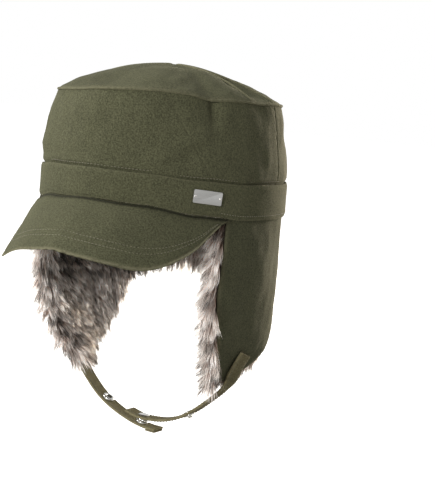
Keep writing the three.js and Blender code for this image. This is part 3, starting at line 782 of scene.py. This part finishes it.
OLIVE = (0.076, 0.077, 0.043)
# Paler olive for seams and hems: wear, and on the roof's seams a painted rim highlight.
OLIVE_WORN_AND_HIGHLIT = (0.2, 0.19, 0.12)
# A darker copy of the crown's olive for the flaps: painted shade.
OLIVE_FLAP_SHADED = (0.066, 0.068, 0.039)
# Strap cloth: its own khaki, made lighter and paler at the edges as a painted satin highlight.
OLIVE_STRAP_AND_HIGHLIGHT = (0.12, 0.108, 0.058)
CLOTH = wool_cloth("olive_wool_cloth", OLIVE, OLIVE_WORN_AND_HIGHLIT)
SHADED_FLAP_CLOTH = wool_cloth("olive_flap_cloth_shaded", OLIVE_FLAP_SHADED, OLIVE_WORN_AND_HIGHLIT)
STRAP_CLOTH = wool_cloth("olive_strap_cloth", OLIVE_STRAP_AND_HIGHLIGHT, (0.34, 0.3, 0.18), twill=0.8)
THREAD_FINISH = plain_thread("olive_thread", (0.17, 0.16, 0.105))
FUR_TONES = [
    (0.0, (0.2, 0.155, 0.13)),
    (0.28, (0.7, 0.565, 0.5)),
    (0.62, (0.96, 0.885, 0.84)),
    (1.0, (0.99, 0.97, 0.95)),
]
FUR_HAIR = fur_hair("silver_tipped_fur", FUR_TONES)
FUR_BACKING = wool_cloth("brown_fur_backing", (0.13, 0.105, 0.085), (0.2, 0.17, 0.14), twill=0.1)
NICKEL = bright_metal("bright_nickel", (0.74, 0.73, 0.7), 0.2, (900, 900, 900), 0.00002)
BRUSHED = bright_metal("brushed_silver_metal", (0.56, 0.56, 0.545), 0.36, (60, 60, 5200), 0.00003)


# Crown

def make_crown():
    t = eased(56)[None, :]
    front = mix(FRONT_PANEL_FOOT, FRONT_PANEL_HEAD, t)
    back = np.full(t.shape, float(BACK_PANEL_ANGLE))
    panels = [
        ("crown_front_panel", "crown_front", -front, front, 110),
        ("crown_left_panel", "crown_side_left", front, back, 90),
        ("crown_back_panel", "crown_back", back, 360 - back, 150),
        ("crown_right_panel", "crown_side_right", 360 - back, 360 - front, 90),
    ]
    for seed, (name, node, start, end, count) in enumerate(panels):
        angle = mix(start, end, eased(count)[:, None])
        points = crown_wall(angle, np.broadcast_to(t, angle.shape) * PANEL_TUCK)
        panel = sewn_cloth(name, points, CLOTH_WALL, ["first", "last", "head"], 10 + seed,
                           soft=0.9, roll=0.4, spread=1.4, seam_reach=1.4, wear_and_highlight=0.1)
        settle(panel, CLOTH, "wool_cloth", node)
    make_roof()
    make_welt()
    stitch_crown_foot()


def make_roof():
    angle = np.arange(0, 360, 1.25)[:, None]
    middle = np.linspace(0.004, ROOF_RIM_SHARE, 34)
    rim = ROOF_RIM_SHARE + (1 - ROOF_RIM_SHARE) * np.sin(np.linspace(0.06, pi / 2, 18))
    points = dome(angle, np.concatenate([middle, rim])[None, :] + 0 * angle)
    under = points - (0, 0, CLOTH_WALL)
    roof = sewn_cloth("crown_roof", points, CLOTH_WALL, ["head"], 31, soft=0.9, roll=0.8, wraps=True,
                      facing=-1, inner=under)
    close_middle(roof)
    settle(roof, CLOTH, "wool_cloth", "crown_top")


def close_middle(piece, hole=0.6 * MM):
    """Closes the small hole at the middle of the roof's faces."""
    form = bmesh.new()
    form.from_mesh(piece.data)
    centre = [f for f in form.faces
              if len(f.verts) == 4 and all(v.co.xy.length < hole for v in f.verts)]
    bmesh.ops.delete(form, geom=centre, context="FACES")
    open_edges = [e for e in form.edges if len(e.link_faces) == 1]
    bmesh.ops.holes_fill(form, edges=open_edges, sides=0)
    bmesh.ops.recalc_face_normals(form, faces=form.faces)
    form.to_mesh(piece.data)
    form.free()


def cord_rings(path, radius, sides, wraps=False):
    """Rings of points round a path, with a radius at each of its points."""
    way = unit(np.roll(path, -1, 0) - np.roll(path, 1, 0) if wraps else np.gradient(path, axis=0))
    side = unit(np.cross(way, (0, 0, 1)))
    up = np.cross(side, way)
    turn = np.arange(sides + 1) * 2 * pi / sides
    ring = side[:, None] * np.cos(turn)[:, None] + up[:, None] * np.sin(turn)[:, None]
    return path[:, None] + ring * np.reshape(radius, (-1, 1, 1))


def sewn_cord(name, points, wear_and_highlight, wraps=False):
    """A cord of folded cloth from its rings of points."""
    rows, columns = points.shape[:2]
    faces = grid_faces(rows, columns, 0, wraps)
    if not wraps:
        faces += end_faces(rows, columns)
    marks = {"seam": np.full((rows, columns), wear_and_highlight)}
    cord = add_piece(name, points.reshape(-1, 3), faces, marks, points.reshape(-1, 3)[:, :2])
    face_out(cord)
    settle(cord, CLOTH, "wool_cloth", "crown_top")


def make_welt():
    """The roof's seam allowance, turned down over the wall's head, and the roof's own seams."""
    angle = np.arange(0, 360, 0.75)
    rim = dome(angle, np.ones_like(angle))
    path = rim - unit(rim * (1, 1, 0)) * WELT_INSET - np.array([0, 0, WELT_DROP])
    wave = 0.1 * np.sin(np.arange(len(angle)) * 1.05) + 0.12 * ripple(rim, 30, 41)
    sewn_cord("shoulder_welt", cord_rings(path, WELT_RADIUS + wave, 10, True), 0.8, True)
    for number, seam_angle in enumerate(ROOF_SEAMS):
        ridge = dome(np.full(70, seam_angle), np.linspace(0.015, 0.985, 70))
        t = np.linspace(0, 1, len(ridge))
        girth = ROOF_SEAM_RADIUS * np.sqrt(np.clip(np.minimum(t, 1 - t) / 0.04, 0.01, 1))
        # The roof's seams are drawn paler than wear alone: worn seams with a painted rim highlight.
        sewn_cord(f"roof_seam_{number + 1}", cord_rings(ridge, girth, 8), 1.35)


def stitch_crown_foot():
    angle = np.arange(0, 360, 0.5)
    climb = rim_height(angle) - CLOTH_WALL - band_top(angle) + SEAM_TUCK
    row = crown_wall(angle, (SEAM_TUCK + FOOT_STITCH_RISE) / climb)
    stitch_row("crown_foot_stitches", row, unit(row * (1, 1, 0)))


# Band

def make_band():
    angle = np.arange(0, 360, 1.0)[:, None]
    t = eased(30)[None, :]
    points = band_face(angle, t + 0 * angle)
    lining = on_ellipse(HALF_LENGTH - BAND_WALL, HALF_WIDTH - BAND_WALL, angle, points[..., 2])
    band = sewn_cloth("band_cloth", points, BAND_WALL, ["foot", "head"], 51, soft=0.25, roll=0.8,
                      spread=1.6, turned=0.5, wraps=True, inner=lining, seam_reach=1.0, wear_and_highlight=0.4)
    settle(band, CLOTH, "wool_cloth", "band")
    behind = np.arange(HEM_STITCH_ANGLE, 360 - HEM_STITCH_ANGLE, 0.5)
    row = band_face(behind, HEM_STITCH_RISE / (band_top(behind) - band_low(behind)))
    stitch_row("band_hem_stitches", row, unit(row * (1, 1, 0)))


# Visor

def make_visor():
    side = np.linspace(-0.995, 0.995, 150)[:, None]
    out = eased(44)[None, :]
    points = visor_face(side, out)
    groove = bump(run_lengths(points, 1), VISOR_GROOVE_LINE, VISOR_GROOVE_REACH)
    points[..., 2] -= VISOR_GROOVE * groove
    under = points - (0, 0, VISOR_WALL)
    visor = sewn_cloth("visor_cloth", points, VISOR_WALL, ["head"], 61, soft=0.3, roll=1.0, spread=1.5,
                       turned=0.9, facing=-1, inner=under, seam_reach=1.2, wear_and_highlight=1.5,
                       shade_foot=True)
    settle(visor, CLOTH, "wool_cloth", "visor")
    across = np.linspace(-0.93, 0.93, 200)
    for number, out_at in enumerate(VISOR_STITCH_ROWS):
        path = visor_face(across, np.full(across.shape, out_at))
        slope = visor_face(across, np.full(across.shape, out_at + NEAR)) - path
        normal = unit(np.cross(slope, np.gradient(path, axis=0)))
        stitch_row(f"visor_stitches_{number + 1}", path, normal)


# Ear flaps and neck flap

def make_flaps():
    along = mix(-1, 1, eased(300))[:, None]
    down = eased(60)[None, :]
    points = flap_face(along, down)
    flaps = sewn_cloth("flap_wall", points, CURTAIN_WALL, ["first", "last", "head"], 71,
                       soft=0.7, roll=0.9, spread=1.4, turned=0.6, seam_reach=2.4)
    settle(flaps, SHADED_FLAP_CLOTH, "wool_cloth", "flap_curtain")
    across, fall = run_lengths(points, 0), run_lengths(points, 1)


# Fur lining

def fur_bed(along, down, overhang):
    """Face that the hair grows from, behind the flap, and round its front edge by a roll."""
    past = np.clip((np.abs(along) - 1) / overhang, 0, 1)
    return flap_face(along, down, CURTAIN_WALL + FUR_SEAT - FUR_FLARE * past * smooth(down / 0.4))


def fur_places(first, last, overhang, count, rng):
    """Roots spread evenly over the bed of the fur."""
    along = rng.uniform(first, last, count * 5)
    down = rng.uniform(FUR_TOP, 1, count * 5)
    here = fur_bed(along, down, overhang)
    to_front = fur_bed(along + NEAR, down, overhang) - here
    to_hem = fur_bed(along, down + NEAR, overhang) - here
    area = np.linalg.norm(np.cross(to_front, to_hem), axis=1)
    kept = np.flatnonzero(rng.uniform(0, np.quantile(area, 0.98), len(area)) < area)[:count]
    return along[kept], down[kept]


def nearest_lock(root, standing, lock_count):
    """For each hair, the number of the hair that leads its lock."""
    tree = KDTree(lock_count)
    for i in range(lock_count):
        tree.insert(root[i] - standing[i] * LOCK_RISE, i)
    tree.balance()
    return np.array([tree.find(place)[1] for place in root - standing * LOCK_RISE])


def hair_blades(root, tip, bow, inward, rng):
    """Thin blades that bend from root to tip: their points, their faces and each point's level."""
    count = len(root)
    level = np.array([0, 0.3, 0.66, 1])
    bend = (2 * level * (1 - level))[:, None]
    middle = root[:, None] + (tip - root)[:, None] * level[:, None] + bow[:, None] * bend
    way = unit(np.gradient(middle, axis=1))
    across = unit(np.cross(way, unit(rng.normal(size=(count, 1, 3)) + inward[:, None] * 0.2)))
    breadth = rng.uniform(*HAIR_BREADTH, (count, 1)) * np.array([1, 0.9, 0.6, 0])
    left = middle - across * breadth[..., None] / 2
    right = middle + across * breadth[..., None] / 2
    points = np.concatenate([left[:, :3], right[:, :3], tip[:, None]], axis=1)
    start = np.arange(count)[:, None] * 7
    faces = np.concatenate([start + np.array(quad) for quad in ([0, 3, 4, 1], [1, 4, 5, 2])]).tolist()
    faces += (start + np.array([2, 5, 6])).tolist()
    return points, faces, np.tile(level[[0, 1, 2, 0, 1, 2, 3]], count)


def hair_tones(root, along, down, edge, near, lock_count, seed, rng):
    """How pale each hair is, 0 to 1: darker under the visor, in patches and locks, and by chance."""
    dark = rng.uniform(size=len(root)) < DARK_HAIR_SHARE
    lock = rng.normal(0, LOCK_TONE_SPREAD, lock_count)
    under_visor = smooth((root[:, 2] - VISOR_SHADOW_FOOT) / VISOR_SHADOW_RUN)
    shadow = VISOR_SHADOW_TONE * under_visor * smooth((-along - 0.2) / 0.15) * (1 - edge)
    edge_tone = np.where(along > 0, EDGE_TONE_LEFT, EDGE_TONE_RIGHT)
    paler = edge * mix(edge_tone, EDGE_TONE_FOOT, smooth((down - 0.5) / 0.35))
    patch = PATCH_TONE * ripple(root, RIPPLE_SIZE, seed + 2)[near] + lock[near]
    tone = FUR_TONE + paler - shadow + patch * (1 + EDGE_PATCH_MORE * edge)
    tone = np.where(dark, tone - DARK_HAIR_DROP, tone)
    return np.clip(tone + rng.normal(0, HAIR_TONE_SPREAD, len(root)), 0, 1)


def make_fur(name, node, first, last, overhang, count, seed, top_more, low_more, hem_more):
    """Strands that lean together in locks and turn outwards round the flap's front edge."""
    rng = np.random.default_rng(seed)
    along, down = fur_places(first, last, overhang, count, rng)
    count = len(along)
    side = np.where(along < 0, -1, 1)
    root = fur_bed(along, down, overhang)
    forward = unit(fur_bed(along + NEAR * side, down, overhang) - root)
    fall = unit(fur_bed(along, down + NEAR, overhang) - root)
    inward = unit(np.cross(fall, forward)) * side[:, None]
    edge = smooth((np.abs(along) - 0.95) / 0.05)[:, None]
    strip = (np.abs(along) > 1)[:, None]
    hem = smooth((down - 0.8) / 0.2)[:, None]
    swirl = ripple(root, SWIRL_SIZE, seed + 1)[:, None]
    turn = np.radians(np.where(strip, rng.uniform(10, 150, (count, 1)), 35 * edge))
    standing = unit(inward * np.cos(turn) + forward * np.sin(turn) + fall * 0.7 * hem)
    comb = fall + forward * (0.3 + 0.05 * edge + 0.4 * swirl * (1 - edge)) * (1 - 0.6 * hem)
    lock_count = max(8, count // HAIRS_IN_LOCK)
    near = nearest_lock(root, standing, lock_count)
    stray = rng.normal(0, HAIR_STRAY, (count, 3))
    comb = unit(comb + stray + rng.normal(0, LOCK_STRAY, (lock_count, 3))[near])
    lift = (HAIR_LIFT - 0.14 * strip - 0.1 * hem) * rng.uniform(0.75, 1.2, (count, 1))
    length = FUR_LENGTH * rng.uniform(0.72, 1.12, (count, 1)) * (1 + 0.12 * edge)
    low = smooth(down / 0.6)[:, None]
    length = length * (1 + edge * mix(top_more, low_more, low) + hem_more * hem * (1 - edge))
    rise = length * lift
    tip = root + standing * rise + comb * length * (HAIR_REACH + 0.16 * edge + 0.2 * hem * (1 - edge))
    gathered = tip[near] + (root - root[near]) * LOCK_NARROWING
    tip = mix(tip, gathered, (LOCK_PULL - 0.33 * hem) * rng.uniform(0.5, 1.1, (count, 1)))
    bow = standing * rise * HAIR_BOW + rng.normal(0, 0.35, (count, 3))
    points, faces, level = hair_blades(root, tip, bow, inward, rng)
    tone = hair_tones(root, along, down, edge[:, 0], near, lock_count, seed, rng)
    marks = {"tip": level, "tone": np.repeat(tone, 7)}
    settle(add_piece(name, points.reshape(-1, 3), faces, marks), FUR_HAIR, "fur_pile", node)


def make_fur_backing(name, node, first, last, overhang):
    along = np.linspace(first, last, 110)[:, None]
    down = mix(FUR_TOP, 0.995, eased(40))[None, :]
    points = fur_bed(along, down, overhang)
    under = points - grid_normals(points) * FUR_SKIN
    backing = sewn_cloth(name, points, FUR_SKIN, ["first", "last"], 81, soft=0.0, roll=0.0, inner=under)
    settle(backing, FUR_BACKING, "fur_pile", node)


def make_lining():
    """Fur on both flaps and the neck. The last three values lengthen its hair at places."""
    split, left, right = FUR_SPLIT, FUR_OVERHANG_LEFT, FUR_OVERHANG_RIGHT
    for name, first, last, overhang, count, seed, top_more, low_more, hem_more in (
        ("left", split, 1 + FUR_WRAP * left, left, FLAP_HAIRS, 101, 0.0, 0.35, 0.0),
        ("right", -1 - FUR_WRAP * right, -split, right, FLAP_HAIRS, 202, 0.5, 0.0, -0.2),
        ("neck", -split, split, left, NECK_HAIRS, 303, 0.0, 0.0, 0.14),
    ):
        node = f"fur_{name}"
        make_fur_backing(f"{node}_backing", node, first, last, overhang)
        make_fur(f"{node}_hair", node, first, last, overhang, count, seed, top_more, low_more, hem_more)


# Chin strap

def smooth_curve(knots, per=40):
    """Points on one smooth curve through the knots, evenly spaced along it."""
    knots = np.concatenate([[2 * knots[0] - knots[1]], knots, [2 * knots[-1] - knots[-2]]])
    points = []
    for p0, p1, p2, p3 in zip(knots, knots[1:], knots[2:], knots[3:]):
        d0, d1, d2 = (np.linalg.norm(b - a) ** 0.5 for a, b in ((p0, p1), (p1, p2), (p2, p3)))
        m1 = ((p1 - p0) / d0 - (p2 - p0) / (d0 + d1) + (p2 - p1) / d1) * d1
        m2 = ((p2 - p1) / d1 - (p3 - p1) / (d1 + d2) + (p3 - p2) / d2) * d1
        t = np.linspace(0, 1, per, endpoint=False)[:, None]
        start = (1 + 2 * t) * (1 - t) ** 2 * p1 + t * (1 - t) ** 2 * m1
        points.append(start + t * t * (3 - 2 * t) * p2 + t * t * (t - 1) * m2)
    points = np.concatenate([*points, knots[-2:-1]])
    run = np.concatenate([[0], np.cumsum(np.linalg.norm(np.diff(points, axis=0), axis=1))])
    at = np.linspace(0, run[-1], STRAP_STEPS + 1)
    return np.stack([np.interp(at, run, points[:, k]) for k in range(3)], -1), run[-1]


def strap_frame(side, run):
    """Middle line of a strap half with its width's direction and its upper face's normal."""
    lift = STRAP_SEAT + STRAP_WALL / 2
    sewn = flap_face(side * np.array(STRAP_SEWN["along"]), np.array(STRAP_SEWN["down"]), -lift)
    x, y, z = (np.array(run[key]) for key in ("x", "y", "z"))
    free = np.stack([x * HALF_WIDTH, y * STRAP_WIDTH, -FLAP_DROP - z * STRAP_FALL], -1)
    middle, length = smooth_curve(np.concatenate([sewn, free]))
    way = unit(np.gradient(middle, axis=0))
    t = np.linspace(0, 1, len(middle))
    leave = len(sewn) / (len(sewn) + len(free) - 1)
    place = np.clip(t / leave, 0, 1)
    along = side * np.interp(place, [0, 0.5, 1], STRAP_SEWN["along"])
    down = np.interp(place, [0, 0.5, 1], STRAP_SEWN["down"])
    here = flap_face(along, down)
    to_front, to_hem = flap_face(along + NEAR, down) - here, flap_face(along, down + NEAR) - here
    wall = unit(np.cross(to_front, to_hem))
    flat = unit(np.cross(way, wall))
    flat = flat * np.sign(flat[:, 1:2] * side)
    level = np.array([0.0, side, 0.0])
    width = mix(flat, level, smooth((t - leave * 0.55) / 0.12)[:, None])
    width = unit(width - way * (width * way).sum(-1, keepdims=True))
    up = unit(np.cross(width, way))
    up = up * np.sign(up[-1, 2])
    return {"middle": middle, "way": way, "width": width, "up": up, "length": length}


def strap_section(half_width, half_wall, sides=28):
    turn = np.arange(sides + 1) * 2 * pi / sides
    across = half_width * np.sign(np.cos(turn)) * np.abs(np.cos(turn)) ** 0.22
    rise = half_wall * np.sign(np.sin(turn)) * np.abs(np.sin(turn)) ** 0.55
    return across, rise


def make_strap_half(name, node, path, seed, first=0, wall=STRAP_WALL, offset=0.0, width=STRAP_WIDTH):
    """A tape of folded cloth along a strap's path, from its point number first."""
    part = slice(first, None)
    middle = path["middle"][part] + path["up"][part] * offset
    middle = middle + path["up"][part] * (0.12 * ripple(middle, 26, seed))[:, None]
    across, rise = strap_section(width / 2, wall / 2)
    run = run_lengths(middle[:, None], 0)[:, 0]
    end = np.minimum(run, run[-1] - run)
    full = np.sqrt(np.clip(1 - (1 - np.clip(end / STRAP_ROUNDING, 0, 1)) ** 2, 0.02, 1))
    wide = path["width"][part][:, None] * across[:, None]
    tall = path["up"][part][:, None] * (rise * full[:, None])[..., None]
    points = middle[:, None] + wide + tall
    rows, columns = points.shape[:2]
    faces = grid_faces(rows, columns) + end_faces(rows, columns)
    edge = width / 2 - np.abs(across)
    # Pale edges: wear and a painted satin highlight.
    marks = {"seam": np.exp(-((edge / 1.6) ** 2)) * np.ones((rows, 1))}
    flat = np.stack(np.broadcast_arrays(run[:, None], across), -1).reshape(-1, 2)
    piece = add_piece(name, points.reshape(-1, 3), faces, marks, flat)
    face_out(piece)
    settle(piece, STRAP_CLOTH, "strap_cloth", node)
    return piece


def stitch_strap(name, path):
    for side, label in ((-1, "rear"), (1, "front")):
        shift = side * (STRAP_WIDTH / 2 - STRAP_STITCH_INSET)
        for face, end in ((1, "upper"), (-1, "lower")):
            line = path["middle"] + path["width"] * shift + path["up"] * face * STRAP_WALL / 2
            stitch_row(f"{name}_stitches_{label}_{end}", line[4:-4], path["up"][4:-4] * face)


def frame_at(path, x):
    i = int(np.argmin(np.abs(path["middle"][:, 0] - x)))
    return {key: path[key][i] for key in ("middle", "way", "width", "up")}


def turned_piece(name, node, seat, up, start, profile, segments=48):
    """A lathe-turned metal piece standing on a face: profile rows are radius and height."""
    profile = np.array(profile, float)
    side = unit(np.cross(up, (0.0, 1.0, 0.0)))
    other = np.cross(up, side)
    turn = np.arange(segments) * 2 * pi / segments
    ring = side * np.cos(turn)[:, None] + other * np.sin(turn)[:, None]
    rise = up * (start + profile[:, 1])[None, :, None]
    points = seat + rise + ring[:, None] * profile[:, 0][None, :, None]
    piece = add_piece(name, points.reshape(-1, 3), grid_faces(segments, len(profile), 0, True))
    face_out(piece)
    smooth_by_angle(piece)
    settle(piece, NICKEL, "snap_metal", node)


def smooth_by_angle(piece, degrees=38):
    form = bmesh.new()
    form.from_mesh(piece.data)
    for edge in form.edges:
        if len(edge.link_faces) == 2:
            edge.smooth = edge.calc_face_angle(0) < radians(degrees)
    form.to_mesh(piece.data)
    form.free()


def make_snaps(left, right):
    r, bore, tall, face = SNAP_DIAMETER / 2, SNAP_BORE / 2, SNAP_HEIGHT, STRAP_WALL / 2
    socket = [(bore, 0), (r, 0), (r, tall * 0.5), (r * 0.97, tall * 0.72), (r * 0.88, tall * 0.94),
              (r * 0.78, tall), (bore * 1.3, tall), (bore * 1.12, tall * 0.93), (bore, tall * 0.75),
              (bore, 0)]
    stud = [(0, 0), (r * 0.86, 0), (r * 0.86, tall * 0.25), (r * 0.8, tall * 0.38),
            (bore * 0.78, tall * 0.5), (bore * 0.7, tall * 0.62), (bore * 0.8, tall * 1.15),
            (bore * 0.72, tall * 1.36), (bore * 0.5, tall * 1.45), (0, tall * 1.45)]
    cap = [(0, 0), (r * 0.9, 0), (r * 0.9, 0.35), (r * 0.84, 0.6), (r * 0.7, 0.84), (r * 0.45, 0.97),
           (0, SNAP_CAP_WALL)]
    opened = frame_at(right, -SNAP_SPACING)
    closed = frame_at(right, SNAP_SEAT_X)
    free = frame_at(left, SNAP_SPACING)
    offset = left["middle"] - closed["middle"]
    miss = np.linalg.norm(offset - closed["up"] * (offset @ closed["up"])[:, None], axis=1)
    i = int(np.argmin(miss))
    over = {key: left[key][i] for key in ("middle", "up")}
    for name, seat, up, start, profile in (
        ("snap_socket_open", opened, opened["up"], face, socket),
        ("snap_cap_open", opened, -opened["up"], face, cap),
        ("snap_socket_closed", closed, closed["up"], face, socket),
        ("snap_cap_closed", closed, -closed["up"], face, cap),
        ("snap_stud_closed", over, -closed["up"], face + SNAP_SEAT_GAP, stud),
        ("snap_cap_inner", over, over["up"], face, cap),
        ("snap_stud_free", free, -free["up"], face, stud),
        ("snap_cap_free", free, free["up"], face, cap),
    ):
        turned_piece(name.replace("snap", "nickel", 1), name, seat["middle"], up, start, profile)


def make_straps():
    left, right = strap_frame(1, LEFT_RUN), strap_frame(-1, RIGHT_RUN)
    for side, path, seed in (("left", left, 91), ("right", right, 92)):
        tape = make_strap_half(f"strap_{side}_tape", f"strap_{side}", path, seed)
    make_strap_half("strap_right_fold", "strap_right", right, 93, STRAP_FOLD_START, STRAP_FOLD_WALL,
                    -STRAP_WALL / 2 - STRAP_FOLD_GAP, STRAP_WIDTH - 0.4)
    stitch_strap("strap_left", left)
    stitch_strap("strap_right", right)
    make_snaps(left, right)


# Metal plate

def make_plate():
    w, h, c = PLATE_LENGTH / 2, PLATE_HEIGHT / 2, PLATE_CORNER
    outline = []
    for x, y, start in ((w, -h, pi), (w, h, -pi / 2), (-w, h, 0), (-w, -h, pi / 2)):
        for turn in np.linspace(start, start - pi / 2, 9):
            outline.append((x + c * cos(turn), y + c * sin(turn)))
    outline = np.array(outline)
    seat = band_face(PLATE_ANGLE, PLATE_RISE)
    outward = unit(seat / np.array([HALF_WIDTH**2, HALF_LENGTH**2, 1]) * (1, 1, 0))
    level, tilt = np.array([-outward[1], outward[0], 0]), radians(PLATE_TILT)
    side = level * cos(tilt) - np.array([0, 0, sin(tilt)])
    up = np.cross(outward, side)

    def at(flat, rise):
        return seat + side * flat[:, :1] + up * flat[:, 1:] + outward * (SEAM_GAP + rise)

    inward = unit(-outline)
    rings = [at(outline, 0), at(outline, PLATE_WALL - PLATE_ARRIS),
             at(outline + inward * 0.12, PLATE_WALL - 0.07), at(outline + inward * 0.3, PLATE_WALL)]
    count = len(outline)
    faces = ring_faces(len(rings), count)
    faces += [list(range(count))[::-1], list(range(3 * count, 4 * count))]
    plate = add_piece("brushed_plate", np.concatenate(rings), faces)
    face_out(plate)
    smooth_by_angle(plate, 30)
    settle(plate, BRUSHED, "plate_metal", "name_plate")
    r = PIN_DIAMETER / 2
    dome_profile = [(0, 0)] + [(r * cos(a), PIN_HEAD * sin(a)) for a in np.linspace(0, pi / 2, 8)]
    face = SEAM_GAP + PLATE_WALL - PIN_PLAY
    for end, way in (("front", -1), ("rear", 1)):
        middle = seat + side * way * (w - PIN_INSET)
        turned_piece(f"bright_pin_{end}", f"plate_pin_{end}", middle, outward, face, dome_profile, 32)


# Camera, floor and light

LIGHTS = {
    "key": {"place": (-2.1, -0.6, 1.1), "target": (0, 0, 0), "size": 0.9, "power": 52,
            "colour": (1, 0.98, 0.94)},
    "front": {"place": (0.15, -1.9, 0.42), "target": (0, 0, -0.06), "size": 0.7, "power": 24,
              "colour": (1, 0.985, 0.96)},
    "rim": {"place": (0.2, 2.1, 0.25), "target": (0, 0, -0.02), "size": 0.4, "power": 60,
            "colour": (1, 0.88, 0.68)},
    "top": {"place": (-0.2, 0.1, 1.6), "target": (0, 0, 0), "size": 1.2, "power": 9,
            "colour": (1, 0.99, 0.97)},
}


def make_camera():
    azimuth, elevation, roll = radians(30), radians(5), radians(4.5)
    distance, frame_width, frame_height = 1.4, 435, 495
    pixels_per_unit = 1400 / 0.79
    origin_pixel = (163.5, 204)
    back = Vector((sin(azimuth) * cos(elevation), -cos(azimuth) * cos(elevation), sin(elevation)))
    right = Vector((cos(azimuth), sin(azimuth), 0))
    up = back.cross(right)
    rolled_right = right * cos(roll) + up * sin(roll)
    rolled_up = up * cos(roll) - right * sin(roll)
    look = Matrix((rolled_right, rolled_up, back)).transposed()
    aside, above = origin_pixel[0] - frame_width / 2, frame_height / 2 - origin_pixel[1]
    aim = Vector((aside, above, -pixels_per_unit))
    swing = Vector((0, 0, -1)).rotation_difference(aim.normalized()).to_matrix()
    data = bpy.data.cameras.new("camera")
    data.sensor_width = 36
    data.lens = pixels_per_unit * data.sensor_width / frame_height
    camera = bpy.data.objects.new("camera", data)
    camera.matrix_world = Matrix.Translation(back * distance) @ (look @ swing.inverted()).to_4x4()
    bpy.context.scene.collection.objects.link(camera)
    bpy.context.scene.camera = camera


def make_floor():
    mesh = bpy.data.meshes.new("floor")
    size, drop = 6, -0.215
    corners = [(x * size, y * size, drop) for x, y in ((-1, -1), (1, -1), (1, 1), (-1, 1))]
    mesh.from_pydata(corners, [], [[0, 1, 2, 3]])
    floor = bpy.data.objects.new("floor", mesh)
    bpy.context.scene.collection.objects.link(floor)
    material, tree, shader = new_material("white_floor", Roughness=0.9)
    shader.inputs["Base Color"].default_value = (0.55, 0.55, 0.55, 1)
    shader.inputs["Emission Color"].default_value = (1, 1, 1, 1)
    seen = add_node(tree, "ShaderNodeLightPath")
    tree.links.new(seen.outputs["Is Camera Ray"], shader.inputs["Emission Strength"])
    floor.data.materials.append(material)


def make_light(name, place, target, size, power, colour):
    data = bpy.data.lights.new(name, "AREA")
    data.shape = "DISK"
    data.size, data.energy, data.color = size, power, colour
    light = bpy.data.objects.new(name, data)
    light.location = place
    light.rotation_euler = (Vector(target) - Vector(place)).to_track_quat("-Z", "Y").to_euler()
    bpy.context.scene.collection.objects.link(light)


def make_studio():
    world = bpy.data.worlds.new("studio")
    bpy.context.scene.world = world
    world.use_nodes = True
    tree = world.node_tree
    sky = tree.nodes["Background"]
    sky.inputs["Color"].default_value = (1, 1, 1, 1)
    seen = add_node(tree, "ShaderNodeLightPath")
    shine = scaled(tree, seen.outputs["Is Glossy Ray"], 0.2, 0.75)
    strength = add_node(tree, "ShaderNodeMath", {0: seen.outputs["Is Camera Ray"], 1: shine},
                        operation="MAXIMUM")
    tree.links.new(strength.outputs[0], sky.inputs["Strength"])
    for name, light in LIGHTS.items():
        make_light(name, **light)
    bpy.context.scene.view_settings.view_transform = "Standard"


make_camera()
make_floor()
make_studio()
make_crown()
make_band()
make_visor()
make_flaps()
make_lining()
make_straps()
make_plate()
